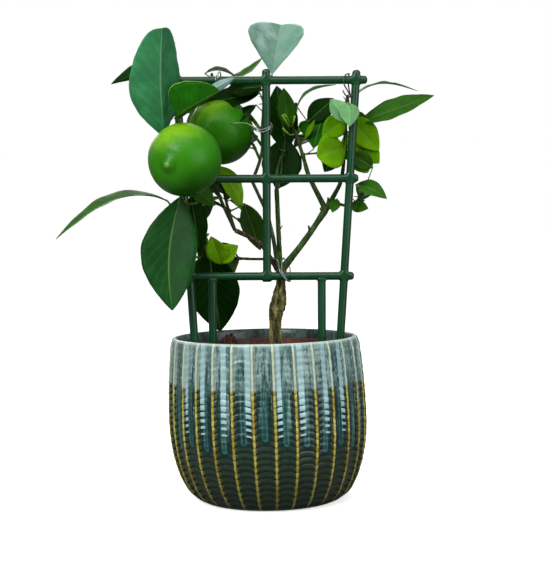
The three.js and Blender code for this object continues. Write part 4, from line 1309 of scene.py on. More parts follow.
class LEMON_OT_trellis(Operator):
    """Build the trellis as one moulding with fillets where its rods meet"""

    bl_idname = "lemon.trellis"
    bl_label = "Trellis"

    def execute(self, context):
        look = context.scene.lemon_trellis
        bars, nubs = TRELLIS["bars"], TRELLIS["nubs"]
        heap = Heap()
        for side in (-1, 1):
            crossings = [on_trellis(side * half_at(bar), bar) for bar in bars]
            ends = upright(lambda height: side * half_at(height), TRELLIS["post_foot"], TRELLIS["post_top"])
            heap.add(rod_surface(ends, crossings, look))
            leg = upright(side * TRELLIS["leg_half"], TRELLIS["leg_foot"], bars[0])
            heap.add(rod_surface(leg, [on_trellis(side * TRELLIS["leg_half"], bars[0])], look))
        ends = upright(0, bars[0] - TRELLIS["rod"] - 1.2, TRELLIS["post_top"] + 1)
        heap.add(rod_surface(ends, [on_trellis(0, bar) for bar in bars], look, point=1.3))
        for bar, nub in zip(bars, nubs):
            reach = half_at(bar) + nub
            crossings = [on_trellis(across, bar) for across in (-half_at(bar), 0, half_at(bar))]
            ends = np.array([on_trellis(-reach, bar), on_trellis(reach, bar)])
            heap.add(rod_surface(ends, crossings, look))
        nodes = [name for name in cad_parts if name.startswith("trellis_")]
        heap.build("trellis_moulding", [trellis_material(look)], nodes)
        return {"FINISHED"}


# Each tie's strands: a radius, a material number, and points as across, depth and height
TIES = {
    "wire_post": [
        (0.38, 0, [(-6, -9.3, 264.3), (-5.6, -10.8, 264), (-1.7, -11.5, 263.3), (2.2, -11.5, 264.4),
                   (4.9, -10, 266), (5.4, -7.4, 267.4), (4, -4.6, 268), (0.8, -4, 267),
                   (-3, -4.8, 265.6), (-5.6, -7, 264.8)]),
        (0.38, 0, [(-5.9, -9.2, 262.9), (-5.3, -10.8, 262.6), (-1.4, -11.6, 261.5), (2.2, -11.5, 262.8),
                   (5, -9.8, 264.8), (5.6, -7.3, 264), (4, -4.5, 262.8), (0.4, -3.9, 262),
                   (-3.6, -5, 262.4), (-5.7, -7.4, 263)]),
        (0.35, 2, [(3.8, -10.6, 267.6), (5.8, -9.6, 266.8), (5.6, -9.6, 264), (4.6, -9.4, 261)]),
        (0.6, 2, [(-5.4, -9.8, 262.6), (-6.8, -10.6, 264.2), (-8, -10.2, 262.8), (-9.2, -9.6, 263.6)]),
        (0.6, 1, [(-5.6, -9.8, 264), (-8.4, -9.4, 266), (-12.4, -5.6, 268), (-16.7, -2.6, 268.8),
                  (-22.3, -3.6, 268.3)]),
    ],
    "wire_corner": [
        (0.5, 0, [(60.4, -10.4, 299.8), (59.8, -10.8, 301.2), (58.2, -11.4, 300.8), (56.9, -11.6, 298.8),
                  (56.5, -11.6, 294.5), (58.6, -11.4, 290.2), (60.9, -11, 286.4), (62.3, -9, 285.2),
                  (61.4, -6, 286.4), (60.3, -4.4, 292), (60, -4.4, 298), (60.4, -6.6, 301.4),
                  (60.6, -8.6, 301.6)]),
        (0.5, 0, [(55.6, -10.6, 290), (56.2, -11.4, 288.6), (57.8, -11.6, 286.2), (60.7, -11.2, 285.4),
                  (62.8, -10, 286.6)]),
    ],
    "wire_low": [
        (0.45, 0, [(14, 4.4, 171.4), (7.4, 9, 172), (4.6, 3, 172), (6.6, -3.4, 171.8),
                   (8.4, -5.2, 170), (8.7, -9, 166.6), (9.4, -11.4, 163.7), (10.7, -11.6, 160.8),
                   (13.1, -11.4, 158), (15, -10, 156.4), (16.6, -6.4, 156.2), (17, -2, 160),
                   (16.4, 2.4, 166), (14, 4.4, 170)]),
        (0.45, 0, [(12.6, -1.8, 173), (11.4, -4.4, 171.4), (10.8, -6.8, 168.4), (10.9, -11.4, 162.9),
                   (12.6, -11.7, 159.9), (14.6, -11.1, 157.2), (16.2, -8.4, 156.4)]),
    ],
}


class LEMON_OT_ties(Operator):
    """Build the four wire ties: two loops round the top bar, and the strands of the others"""

    bl_idname = "lemon.ties"
    bl_label = "Ties"

    def execute(self, context):
        look = context.scene.lemon_trellis
        steel = wire_material("bare_wire", look.wire, 0.8)
        dark = wire_material("dark_wire", paint(40, 52, 46), 0.3)
        sheath = wire_material("tie_sheath", look.sheath, 0.0)
        across = np.array([1.0, 0, 0])
        heap = Heap()
        place = on_trellis(-36, TRELLIS["bars"][2])
        heap.add(wire_surface(tie_route(place + (1.4, 0, 0), across, 3.4, 1.3, 8, 40), 0.45))
        heap.add(wire_surface(tie_route(place + (3.2, 0, 1.5), across, 4.7, 0.95, 9, 120), 0.45))
        heap.build("wire_top", [steel], "tie_top")
        for name, strands in TIES.items():
            heap = Heap()
            for radius, number, points in strands:
                heap.add(wire_surface(smooth(np.array(points, float), 8), radius), number)
            first = dark if name == "wire_corner" else steel
            heap.build(name, [first, sheath, dark], name.replace("wire", "tie"))
        return {"FINISHED"}


# Trunk and boughs


class BarkSettings(PropertyGroup):
    relief: size("Bark relief", "Height of the ridges and warts on the trunk", 0.45)
    woody: colour("Trunk bark", "Olive brown bark of the trunk", 124, 120, 62)
    green: colour("Bough bark", "Green bark of the boughs", 52, 84, 26)


def bark_material(name, base, ridge, hollow, scale):
    """Bark with long fissures: colour and relief from noise drawn out along the limb."""
    made = Finish(name, roughness=0.72, Specular_IOR_Level=0.25)
    fissures = made.noise(scale, 5, (1, 1, 0.28), 0.66)
    spots = made.cells(scale * 1.8)
    coat = made.mix(made.fade(fissures, 0.4, 0.62), hollow, base)
    coat = made.mix(made.share(0.7, made.fade(fissures, 0.58, 0.75)), coat, ridge)
    made.set("Base Color", made.mix(made.share(0.45, made.fade(spots, 0.28, 0.1)), coat, ridge))
    made.bump(fissures, 0.0009, 0.7)
    return made.material


def limb_surface(points, girth, sides, spacing, relief, seed, flare=0.0):
    """A limb along its route. Its radius follows the girth, and rises and falls with noise that is long
    along the limb and short round it, and with rings where old leaves stood."""
    fine = smooth(points, 6)
    length = lengths_of(fine)[-1]
    stations = rod_stations(length, min(1.2, girth[-1][1] * 0.6), spacing)
    route = points_at(fine, stations)
    share = stations / length
    radius = np.interp(share, *zip(*girth)) + flare * np.exp(-stations / 2.2)
    radius -= rounding(stations, min(1.2, girth[-1][1] * 0.6)) * (share > 0.5)
    angle = np.linspace(0, 2 * np.pi, sides, endpoint=False)
    mean = float(np.mean([part for _, part in girth]))
    angle, along_it = np.meshgrid(angle, stations)
    place = np.stack([np.cos(angle) * mean, np.sin(angle) * mean, along_it * 0.3], axis=-1)
    rough = wander(place, seed, 3.2) * 0.6 + wander(place * (1, 1, 2), seed + 1, 1.6) * 0.4
    rings = np.exp(-(((along_it / 13 + 0.1 * np.sin(angle)) % 1 - 0.5) / 0.05) ** 2)
    return swept(route, radius[:, None] * (1 + 0.1 * relief * rings) + relief * rough, sides)


class LEMON_OT_limbs(Operator):
    """Build the trunk and the six boughs with bark relief"""

    bl_idname = "lemon.limbs"
    bl_label = "Trunk and boughs"

    def execute(self, context):
        look = context.scene.lemon_bark
        woody = bark_material("woody_bark", look.woody, paint(150, 150, 104), paint(34, 34, 10), 260)
        green = bark_material("green_bark", look.green, paint(90, 120, 52), paint(26, 50, 10), 380)
        brown = bark_material("brown_bark", paint(84, 76, 52), paint(132, 124, 92), paint(36, 30, 14), 380)
        relief = look.relief / MM
        for seed, (name, limb) in enumerate(LIMBS.items()):
            heap = Heap()
            thick = name == "trunk"
            rough = relief if thick else relief * 0.22
            sides, spacing = (72, 0.45) if thick else (28, 0.6)
            girth = limb["girth"]
            route, slack = LIMB_ROUTES[name], 0.0 if thick else 0.5
            heap.add(limb_surface(route, girth, sides, spacing, rough, seed * 7, slack))
            for at, heading, rise, length, radius in SNAGS.get(name, ()):
                foot = along(LIMB_ROUTES[name], at)
                stub = corners_of(foot, [(heading, rise, length * 0.6), (heading, rise + 8, length * 0.4)])
                heap.add(limb_surface(stub, [(0, radius), (1, radius * 0.75)], 14, 0.4, 0.12, seed + 50))
            skin = woody if thick else brown if name == "bough_left" else green
            heap.build(f"bark_{name}", [skin], name)
        return {"FINISHED"}


# Leaves

TONES = {
    "tall": ((52, 126, 78), (66, 132, 84)),
    "deep": ((20, 66, 22), (40, 88, 40)),
    "rich": ((20, 84, 1), (52, 104, 24)),
    "mid": ((38, 84, 12), (64, 108, 36)),
    # dark is painted shade: a darker copy of the leaf colours for leaves that stand in shade
    "dark": ((10, 42, 1), (24, 56, 8)),
    "olive": ((34, 66, 4), (70, 100, 30)),
    "lime": ((112, 170, 5), (130, 176, 26)),
    "fresh": ((84, 134, 2), (96, 150, 20)),
    "sage": ((90, 138, 86), (104, 150, 102)),
    # mint is a pale leaf face painted paler still with a sheen: a painted reflection
    "mint": ((180, 254, 226), (180, 240, 214)),
    # silver is a painted sheen: the pale reflection on a curling part of a blade
    "silver": ((104, 142, 138), (124, 160, 152)),
    "brown": ((36, 56, 20), (60, 78, 34)),
}
VEINS = {"mint": (196, 240, 214), "sage": (150, 196, 146), "silver": (178, 204, 192), "lime": (160, 196, 50),
         "tall": (128, 182, 140)}
PLAIN_VEIN = (92, 132, 66)
# Painted highlights along the edge of some blades: how much, and the colour
EDGE_HIGHLIGHTS = {"rich": (0.7, (168, 194, 90)), "mint": (0.3, (190, 226, 200)), "silver": (0.5, (196, 216, 204))}
# Painted light and shade: how much lighter one half of a blade is painted, where the photograph shows the
# halves apart
PAINTED_HALF_LIGHT = {"mint": 0.44, "sage": 1.3, "lime": 0.85, "tall": 0.85}
GLOSS = {"tall": 0.25, "mint": 0.05, "lime": 0.15, "sage": 0.15,
         "silver": 0.3, "dark": 0.04, "rich": 0.05, "fresh": 0.03}
PLAIN_GLOSS = 0.07


class LeafSettings(PropertyGroup):
    thickness: size("Leaf thickness", "Thickness of a blade between its veins", 0.35)
    stalk: size("Stalk radius", "Radius of a leaf's stalk", 0.75)
    pucker: size("Puckering", "How far the blade swells between its side veins", 0.12)
    wave: size("Edge wave", "How far the edge of a blade waves", 0.4)
    veins: IntProperty(name="Side veins", description="Side veins on each half", default=9, min=4, max=14)


VEIN_SLANT = 0.3


def leaf_material(name, tone, shown, look, under):
    """A blade's colour, paler along its midrib and faintly along its side veins, which the map places,
    and darker or paler in soft patches. One half of some blades is painted lighter or darker, as painted
    light and shade, and some carry a painted highlight along the edge. The upper face is glossy, and the
    under face is dull."""
    made = Finish(name, roughness=0.55 if under else 0.38, IOR=1.45,
                  Specular_IOR_Level=GLOSS.get(tone, PLAIN_GLOSS))
    vein, shown = paint(*VEINS.get(tone, PLAIN_VEIN)), paint(*shown)
    u, v = made.map()
    across = made.sum("ABSOLUTE", v)
    run = made.sum("MULTIPLY_ADD", u, float(look.veins), made.share(-VEIN_SLANT * look.veins, across))
    level = made.sum("PINGPONG", run, 0.5)
    side_vein = made.share(made.fade(level, 0.08, 0.01), made.fade(across, 0.95, 0.5),
                           made.fade(across, 0.0, 0.1))
    midrib = made.fade(across, 0.05, 0.012)
    patches = made.noise(90, 4)
    grain = made.noise(2200, 2)
    # Painted light and shade: one half of the blade painted lighter or darker by its tone's factor
    half = [part * PAINTED_HALF_LIGHT.get(tone, 1.0) for part in shown]
    coat = made.mix(made.fade(v, -0.04, 0.04), shown, half)
    pale = [min(part * 1.6, 0.95) for part in shown]
    coat = made.mix(made.share(0.45, made.fade(patches, 0.42, 0.68)), coat, pale)
    coat = made.mix(made.share(0.4, made.fade(patches, 0.5, 0.32)), coat, [part * 0.7 for part in shown])
    coat = made.mix(made.share(0.18, made.fade(grain, 0.55, 0.7)), coat, [part * 0.7 for part in shown])
    coat = made.mix(made.share(0.3, made.fade(level, 0.3, 0.5)), coat, [part * 0.75 for part in shown])
    coat = made.mix(made.share(0.4, made.fade(u, 0.3, 0.0)), coat, [part * 0.6 for part in shown])
    coat = made.mix(made.share(0.2 if under else 0.09, side_vein), coat, vein)
    coat = made.mix(made.share(0.6, midrib), coat, vein)
    # A pale band along the edge: a painted highlight for the tones listed, a faint pale margin for the rest
    share, rim = EDGE_HIGHLIGHTS.get(tone, (0.1, VEINS.get(tone, PLAIN_VEIN)))
    coat = made.mix(made.share(share, made.fade(across, 0.965, 0.99)), coat, paint(*rim))
    made.set("Base Color", coat)
    made.bump(made.sum("MAXIMUM", side_vein, midrib), 0.0002 if under else -0.0002, 0.5)
    made.bump(grain, 0.00008, 0.5)
    return made.material


def blade_surface(blade, look, seed):
    """A blade as a closed shell, and its map. Its middle sheet is the solid's, with a waving edge and
    swellings between the side veins. The shell is a ring of the upper face and back along the under
    face, half a thickness away on each side, thicker along the midrib underneath."""
    long_one = blade["length"] > 30
    rows, columns = (44, 17) if long_one else (26, 11)
    u = (1 - np.cos(np.linspace(0.06, np.pi - 0.06, rows))) / 2
    spread = np.linspace(-1, 1, columns)
    v = np.sign(spread) * np.abs(spread) ** 1.35
    u, v = np.meshgrid(u, v, indexing="ij")
    sheet = blade_points(blade, u, v)
    width = half_width(blade, u)
    start = seed * 2.4
    toothed = 1 + 0.009 * np.sin(2 * np.pi * u * 24 + start)
    sheet += blade["side"] * (width * v * (toothed - 1))[..., None]
    run = look.veins * (u - VEIN_SLANT * np.abs(v))
    swell = -np.cos(2 * np.pi * run) * np.sin(np.pi * np.abs(v)) * np.sin(np.pi * u)
    edge = np.sin(2 * np.pi * u * 3.5 + start + np.sign(v)) * np.abs(v) ** 3 * np.sin(np.pi * u)
    scale = min(1.0, blade["length"] / 60)
    lift = look.pucker / MM * scale * swell + look.wave / MM * scale * edge * (width > 3)
    groove = np.exp(-((width * v / 0.7) ** 2))
    half = look.thickness / MM / 2 * (1 - 0.7 * np.abs(v) ** 6)
    above = sheet + blade["face"] * (lift + half - 0.2 * groove * (1 - u))[..., None]
    below = sheet + blade["face"] * (lift - half - 0.55 * groove * (1 - 0.75 * u))[..., None]
    ring = np.concatenate([above, below[:, ::-1]], axis=1)
    marks = np.stack([u, v], axis=-1)
    return ring, np.concatenate([marks, marks[:, ::-1]], axis=1), columns


def stalk_surface(blade, radius):
    """A leaf's stalk: from its twig to a little way into the midrib, bent gently, thicker at its foot
    and at the joint under the blade."""
    into = blade_points(blade, 0.08, 0)
    half_way = (blade["foot"] + blade["base"]) / 2 - (0, 0, 0.3)
    corners = np.array([blade["foot"], half_way, blade["base"], into])
    route = smooth(corners, 8)
    share = lengths_of(route) / lengths_of(route)[-1]
    joint = lengths_of(np.array([blade["foot"], half_way, blade["base"]]))[-1] / lengths_of(route)[-1]
    swelling = 0.5 * np.exp(-share / 0.06) + 0.3 * np.exp(-(((share - joint) / 0.04) ** 2))
    radii = radius * (0.9 + swelling - 0.3 * share)
    return swept(route, radii, 10)


class LEMON_OT_leaves(Operator):
    """Build every mass's leaves: blades with veins, and their stalks"""

    bl_idname = "lemon.leaves"
    bl_label = "Leaves"

    def execute(self, context):
        look = context.scene.lemon_leaves
        materials, numbers = [], {}
        for tone, faces in TONES.items():
            numbers[tone] = len(materials)
            for face, shown in zip(("upper", "under"), faces):
                materials.append(leaf_material(f"leaf_{tone}_{face}", tone, shown, look, face == "under"))
        stalk = Finish("leaf_stalk", roughness=0.5, Specular_IOR_Level=0.2)
        stalk.set("Base Color", stalk.mix(stalk.noise(300, 3), paint(58, 100, 22), paint(92, 130, 44)))
        materials.append(stalk.material)
        for name, mass in GROWN.items():
            heap = Heap()
            for step, blade in enumerate(mass["blades"]):
                ring, marks, columns = blade_surface(blade, look, step + mass["seed"])
                slots = np.full((1, ring.shape[1]), numbers[blade["tone"]])
                slots[:, columns - 1 :] += 1
                heap.add(ring, np.broadcast_to(slots, (len(ring) - 1, slots.shape[1])), marks=marks)
                slim = 0.75 if blade["length"] < 30 else 1
                heap.add(stalk_surface(blade, look.stalk / MM * slim), len(materials) - 1)
            heap.build(name.replace("foliage", "leaves"), materials, name)
        return {"FINISHED"}


# Twigs


class TwigSettings(PropertyGroup):
    swelling: size("Node swelling", "How far a twig swells where a leaf stands", 0.35)
    young: colour("Young twig", "Green of this year's twigs", 62, 100, 24)
    old: colour("Old twig", "Grey green of last year's twigs", 58, 80, 30)


def twig_surface(route, feet, swelling):
    """A twig along its route, slightly angular, swollen where a leaf stands, with a rounded tip."""
    fine = smooth(route["points"], 6)
    length = lengths_of(fine)[-1]
    stations = rod_stations(length, 0.7, 0.7)
    points = points_at(fine, stations)
    radius = np.interp(stations / length, *zip(*route["girth"]))
    for foot in feet:
        radius = radius + swelling * np.exp(-((np.linalg.norm(points - foot, axis=1) / 1.5) ** 2))
    radius -= rounding(stations, 0.7) * (stations > length / 2)
    angle = np.linspace(0, 2 * np.pi, 16, endpoint=False)
    return swept(points, radius[:, None] * (1 + 0.07 * np.cos(3 * angle)), 16)


def bud_surface(foot, way, length, radius):
    """A bud or thorn: a cone with a sine's swelling, from its foot along its way."""
    share = np.linspace(0, 1, 8)
    points = foot + unit(way) * (share * length)[:, None]
    return swept(points, radius * np.maximum(np.cos(share * np.pi / 2) ** 0.8, 0.03), 8)


class LEMON_OT_twigs(Operator):
    """Build every mass's stem and twigs, with buds and short thorns beside the leaves"""

    bl_idname = "lemon.twigs"
    bl_label = "Twigs"

    def execute(self, context):
        look = context.scene.lemon_twigs
        young = bark_material("young_twig", look.young, paint(104, 140, 50), paint(34, 62, 12), 500)
        old = bark_material("old_twig", look.old, paint(104, 118, 62), paint(28, 40, 12), 500)
        pale = bark_material("pale_shoot", paint(150, 186, 60), paint(186, 206, 96), paint(110, 150, 34), 500)
        for name, mass in GROWN.items():
            heap = Heap()
            feet = [blade["foot"] for blade in mass["blades"]]
            for label, route in mass["routes"].items():
                near = [foot for foot in feet if gaps_to(foot, gathered([(route["points"], 0)]))[0] < 0.5]
                heap.add(twig_surface(route, near, look.swelling / MM), 0 if label != "stem" else 1)
            for step, blade in enumerate(mass["blades"]):
                way = unit(blade["base"] - blade["foot"]) + (0, 0, 0.9)
                heap.add(bud_surface(blade["foot"], way, 2.8, 0.75))
                if step % 3 == 1:
                    thorn = np.cross(way, (0.3, 1, 0.2)) + (0, 0, 0.4)
                    heap.add(bud_surface(blade["foot"], thorn, 5.5, 0.5))
            for route in SHOOTS.get(name, ()):
                points = smooth(np.array(route, float), 6)
                heap.add(swept(points, np.linspace(0.5, 0.7, len(points)), 10), 2)
            heap.build(name.replace("foliage", "twigs"), [young, old, pale], name)
        return {"FINISHED"}


# Fruit


class FruitSettings(PropertyGroup):
    nipple: size("Nipple", "How far the fruit's end stands out", 1.8)
    rind: colour("Rind", "Green of the unripe rind", 46, 124, 3)
    # shade is the darker green painted as shade on the side of each fruit turned from the lamps, and the
    # colour of its soft patches and of the ring round its nipple
    shade: colour("Rind in patches", "Darker green below and in soft patches", 24, 80, 2)
    # Painted light: the yellower green painted on the side of each fruit turned to the lamps
    lit_rind: colour("Sunny rind", "Yellower green where the sun falls", 132, 184, 22)


# The way to the lamps: the rind is painted yellower toward it as painted light, and darker away from it as
# painted shade
LAMP_SIDE = (-0.35, -0.2, 0.9)
# Which way the nipple leans from the fruit's axis: aside, up, along
NIPPLE_LEAN = (-0.13, -0.04, -1)
# Angles from the tip, and the depth in millimetres of the dip round the nipple
NIPPLE_WIDTH, NIPPLE_RING, NIPPLE_DIP = 0.12, 0.3, 0.5


def rind_material(look):
    """Glossy rind with oil pores as small pits. It is painted darker on the side turned from the lamps, which
    is below, as painted shade, and in soft patches; and yellower on the side toward the lamps, as painted
    light, as the map gives."""
    made = Finish("fruit_rind", IOR=1.45, Specular_IOR_Level=0.24)
    down, lamplight = made.map()
    patches = made.noise(55, 3)
    pits = made.fade(made.cells(620), 0.42, 0.12)
    # Painted light and shade: darker on the side turned from the lamps, yellower on the side turned to them,
    # broken up by soft patches
    spread = made.sum("MULTIPLY_ADD", made.sum("SUBTRACT", patches, 0.5), 0.5, lamplight)
    coat = made.mix(made.share(0.9, made.fade(spread, 0.5, 0.05)), look.rind, look.shade)
    coat = made.mix(made.share(0.7, made.fade(spread, 0.68, 1.0)), coat, look.lit_rind)
    ring = made.share(0.35, made.fade(down, 0.9, 0.93), made.fade(down, 0.965, 0.94))
    coat = made.mix(ring, coat, look.shade)
    coat = made.mix(made.share(0.5, made.fade(down, 0.972, 0.985)), coat, paint(140, 182, 96))
    made.set("Base Color", made.mix(made.share(0.2, pits), coat, paint(24, 76, 4)))
    made.set("Roughness", made.sum("MULTIPLY_ADD", patches, 0.16, 0.26))
    made.bump(made.sum("SUBTRACT", 1.0, pits), 0.00012, 0.5)
    return made.material


def rind_surface(ball, nipple):
    """A fruit round its axis: a ball whose radius grows near the far end into a nipple, dips a little
    round it, and is drawn into a dimple with faint furrows where the stalk stands."""
    down = np.linspace(0.03, np.pi - 0.03, 72)[:, None]
    turn = np.linspace(0, 2 * np.pi, 96, endpoint=False)[None, :]
    radius = ball["radius"]
    ball_points = np.stack(
        np.broadcast_arrays(np.sin(down) * np.cos(turn), np.sin(down) * np.sin(turn), np.cos(down)), axis=-1)
    from_tip = np.arccos(np.clip(ball_points @ unit(NIPPLE_LEAN), -1, 1))
    reach = radius + nipple * np.exp(-((from_tip / NIPPLE_WIDTH) ** 2))
    reach = reach - NIPPLE_DIP * np.exp(-(((from_tip - NIPPLE_RING) / NIPPLE_WIDTH) ** 2))
    reach = reach - 1.1 * np.exp(-((down / 0.22) ** 2)) * (1 + 0.12 * np.cos(5 * turn))
    reach = reach + 0.22 * wander(ball_points, int(radius * 10), 1.5)
    axis = ball["axis"]
    side = unit(np.cross(axis, (0, 0, 1)))
    up = np.cross(side, axis)
    x, y = reach * np.sin(down) * np.cos(turn), reach * np.sin(down) * np.sin(turn)
    z = -reach * np.cos(down)
    away = side * x[..., None] + up * y[..., None] + axis * z[..., None]
    # How far each point turns to the lamps, which the map carries for the painted light and shade
    lit_side = 0.5 + 0.5 * unit(away) @ unit(LAMP_SIDE)
    marks = np.stack([1 - from_tip / np.pi, lit_side], axis=-1)
    grid = ball["centre"] + away
    return grid, marks


def calyx_surface(ball):
    """The small five-pointed star between stalk and rind: a low cone whose edge runs in and out."""
    turn = np.linspace(0, 2 * np.pi, 40, endpoint=False)[None, :]
    profile = np.array([[0.5, -2.2], [1.7, -1.6], [2.6, -0.2], [3.1, 0.9], [2.2, 1.4], [0.6, 1.2]])
    star = 1 + 0.22 * np.cos(5 * turn) * (profile[:, :1] > 2)
    axis = ball["axis"]
    side = unit(np.cross(axis, (0, 0, 1)))
    up = np.cross(side, axis)
    x, y = profile[:, :1] * star * np.cos(turn), profile[:, :1] * star * np.sin(turn)
    height = np.broadcast_to(profile[:, 1:] + 0.6, x.shape)
    foot = ball["centre"] - axis * ball["radius"]
    return foot + side * x[..., None] + up * y[..., None] + axis * height[..., None]


class LEMON_OT_fruit(Operator):
    """Build the two fruit with their rind, calyx and stalk"""

    bl_idname = "lemon.fruit"
    bl_label = "Fruit"

    def execute(self, context):
        look = context.scene.lemon_fruit
        rind = rind_material(look)
        green = bark_material("fruit_stalk", paint(104, 136, 30), paint(158, 184, 70), paint(50, 74, 12), 500)
        for name, mass in GROWN.items():
            for ball in mass["fruit"]:
                heap = Heap()
                grid, marks = rind_surface(ball, look.nipple / MM)
                heap.add(grid, marks=marks)
                heap.add(calyx_surface(ball), 1)
                foot, end = ball["foot"], ball["end"]
                route = smooth(np.array([foot, (foot + end) / 2 + (0, 0, 0.8), end]), 10)
                share = np.linspace(0, 1, len(route))
                heap.add(swept(route, 1.2 + 0.7 * share**2 + 0.4 * np.exp(-share / 0.05), 14), 1)
                heap.build(name.replace("foliage", "fruit"), [rind, green], name)
        return {"FINISHED"}


# The stage


class StageSettings(PropertyGroup):
    key: FloatProperty(name="Key light", description="Power of the soft light at the left", default=15)
    fill: FloatProperty(name="Fill light", description="Power of the soft light at the right", default=6)
    sky: FloatProperty(name="Surroundings", description="Strength of the white surroundings", default=0.6)
    focal: FloatProperty(name="Lens", description="Focal length in millimetres", default=87.84)


def aim(place, target, roll=0.0):
    """A turn that looks from a place to a target, rolled in degrees."""
    ahead = (Vector(target) - Vector(place)).normalized()
    return ahead.to_track_quat("-Z", "Y").to_matrix() @ Matrix.Rotation(math.radians(roll), 3, "Z")


def soft_light(name, place, target, width, power):
    """A square area light that faces its target."""
    lamp = bpy.data.lights.new(name, "AREA")
    lamp.shape = "SQUARE"
    lamp.size = width
    lamp.energy = power
    light = bpy.data.objects.new(name, lamp)
    light.matrix_world = Matrix.LocRotScale(Vector(place), aim(place, target).to_quaternion(), None)
    bpy.context.scene.collection.objects.link(light)


class LEMON_OT_stage(Operator):
    """Build the pale floor, the soft lights and the camera"""

    bl_idname = "lemon.stage"
    bl_label = "Stage"

    def execute(self, context):
        look = context.scene.lemon_stage
        scene = context.scene
        turn = np.linspace(0, 2 * np.pi, 96, endpoint=False)[None, :]
        reach = np.array([0.02, 0.5, 1.5, 4, 9])[:, None]
        x, y = reach * np.cos(turn), reach * np.sin(turn)
        rings = np.stack(np.broadcast_arrays(x, y, 0 * reach * turn), axis=-1)
        mesh = bpy.data.meshes.new("floor")
        rows, columns = rings.shape[:2]
        row, column = np.meshgrid(np.arange(rows - 1), np.arange(columns), indexing="ij")
        near, beside = row * columns, (column + 1) % columns
        far = near + columns
        quads = np.stack([near + column, far + column, far + beside, near + beside], axis=-1)
        faces = quads.reshape(-1, 4).tolist() + [list(range(columns))]
        mesh.from_pydata(rings.reshape(-1, 3).tolist(), [], faces)
        paper = Finish("floor_paper", paint(252, 252, 252), 0.9)
        seen = paper.node("ShaderNodeLightPath").outputs["Is Camera Ray"]
        pale = paper.mix(paper.noise(600, 3), paint(252, 252, 252), paint(246, 246, 246))
        paper.set("Base Color", paper.mix(seen, paint(120, 120, 118), pale))
        paper.set("Emission Color", (1, 1, 1))
        paper.set("Emission Strength", paper.share(0.62, seen))
        mesh.materials.append(paper.material)
        floor = bpy.data.objects.new("floor", mesh)
        scene.collection.objects.link(floor)

        world = bpy.data.worlds.new("surroundings")
        world.use_nodes = True
        nodes, links = world.node_tree.nodes, world.node_tree.links
        way = nodes.new("ShaderNodeSeparateXYZ")
        links.new(nodes.new("ShaderNodeTexCoord").outputs["Generated"], way.inputs[0])
        rising = nodes.new("ShaderNodeMapRange")
        links.new(way.outputs["Z"], rising.inputs["Value"])
        for label, value in (("From Min", -0.4), ("From Max", 0.9), ("To Min", 0.15), ("To Max", 1.0)):
            rising.inputs[label].default_value = value
        strength = nodes.new("ShaderNodeMath")
        strength.operation = "MULTIPLY"
        strength.inputs[1].default_value = look.sky
        links.new(rising.outputs["Result"], strength.inputs[0])
        shown = nodes.new("ShaderNodeMath")
        shown.operation = "MAXIMUM"
        links.new(strength.outputs[0], shown.inputs[0])
        links.new(nodes.new("ShaderNodeLightPath").outputs["Is Camera Ray"], shown.inputs[1])
        links.new(shown.outputs[0], nodes["Background"].inputs["Strength"])
        nodes["Background"].inputs["Color"].default_value = (1, 1, 1, 1)
        scene.world = world
        target = (0, 0, 0.17)
        soft_light("key_light", (-0.75, -1.05, 0.95), target, 0.7, look.key)
        soft_light("fill_light", (1.0, -0.85, 0.45), target, 0.8, look.fill)
        soft_light("top_light", (0.05, -0.7, 1.25), target, 0.9, look.fill)
        soft_light("back_light", (-0.3, 1.2, 0.9), target, 0.9, look.fill)

        lens = bpy.data.cameras.new("camera")
        lens.sensor_width = 36
        lens.lens = look.focal
        lens.clip_start, lens.clip_end = 0.05, 40
        camera = bpy.data.objects.new("camera", lens)
        down, roll = math.radians(3.1), math.radians(1.0)
        ahead = Vector((0, math.cos(down), -math.sin(down)))
        above = Vector((0, math.sin(down), math.cos(down)))
        right = Vector((1, 0, 0))
        turned_right = right * math.cos(roll) - above * math.sin(roll)
        turned_above = right * math.sin(roll) + above * math.cos(roll)
        axes = Matrix((turned_right, turned_above, -ahead)).transposed()
        camera.matrix_world = Matrix.LocRotScale(Vector((0.0043, -1.0, 0.206)), axes.to_quaternion(), None)
        scene.collection.objects.link(camera)
        scene.camera = camera
        scene.view_settings.view_transform = "Standard"
        return {"FINISHED"}


# Panel and start


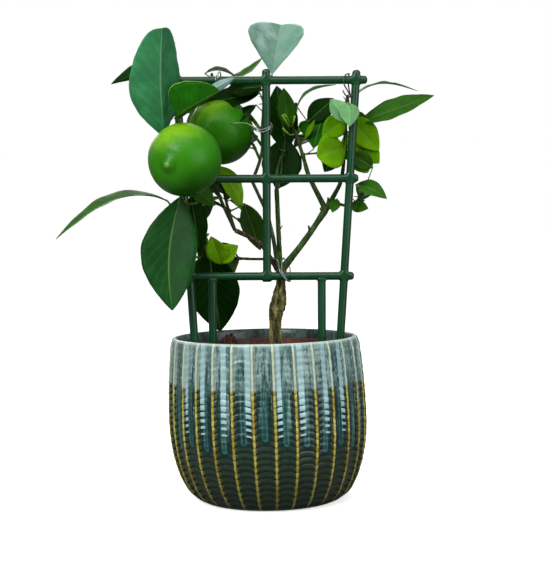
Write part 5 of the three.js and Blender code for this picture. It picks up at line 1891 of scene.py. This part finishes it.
class LEMON_PT_panel(Panel):
    """The sizes and colours of each group, and the buttons that build it"""

    bl_label = "Potted lemon tree"
    bl_idname = "LEMON_PT_panel"
    bl_space_type = "VIEW_3D"
    bl_region_type = "UI"
    bl_category = "Lemon Tree"

    def draw(self, context):
        for operator, group in STEPS:
            box = self.layout.box()
            settings = getattr(context.scene, group)
            for label in settings.__annotations__:
                box.prop(settings, label)
            box.operator(operator.bl_idname)


STEPS = (
    (LEMON_OT_pot, "lemon_pot"),
    (LEMON_OT_bedding, "lemon_bedding"),
    (LEMON_OT_trellis, "lemon_trellis"),
    (LEMON_OT_ties, "lemon_trellis"),
    (LEMON_OT_limbs, "lemon_bark"),
    (LEMON_OT_leaves, "lemon_leaves"),
    (LEMON_OT_twigs, "lemon_twigs"),
    (LEMON_OT_fruit, "lemon_fruit"),
    (LEMON_OT_stage, "lemon_stage"),
)
GROUPS = {
    "lemon_pot": PotSettings,
    "lemon_bedding": BeddingSettings,
    "lemon_trellis": TrellisSettings,
    "lemon_bark": BarkSettings,
    "lemon_leaves": LeafSettings,
    "lemon_twigs": TwigSettings,
    "lemon_fruit": FruitSettings,
    "lemon_stage": StageSettings,
}


def register():
    """Registers the settings, the operators and the panel."""
    for name, group in GROUPS.items():
        bpy.utils.register_class(group)
        setattr(bpy.types.Scene, name, PointerProperty(type=group))
    for operator, _ in STEPS:
        bpy.utils.register_class(operator)
    bpy.utils.register_class(LEMON_PT_panel)


def unregister():
    """Takes away what register added."""
    bpy.utils.unregister_class(LEMON_PT_panel)
    for operator, _ in STEPS:
        bpy.utils.unregister_class(operator)
    for name, group in GROUPS.items():
        delattr(bpy.types.Scene, name)
        bpy.utils.unregister_class(group)


def main():
    register()
    bpy.ops.lemon.pot()
    bpy.ops.lemon.bedding()
    bpy.ops.lemon.trellis()
    bpy.ops.lemon.ties()
    bpy.ops.lemon.limbs()
    bpy.ops.lemon.leaves()
    bpy.ops.lemon.twigs()
    bpy.ops.lemon.fruit()
    bpy.ops.lemon.stage()


if __name__ == "__main__":
    main()
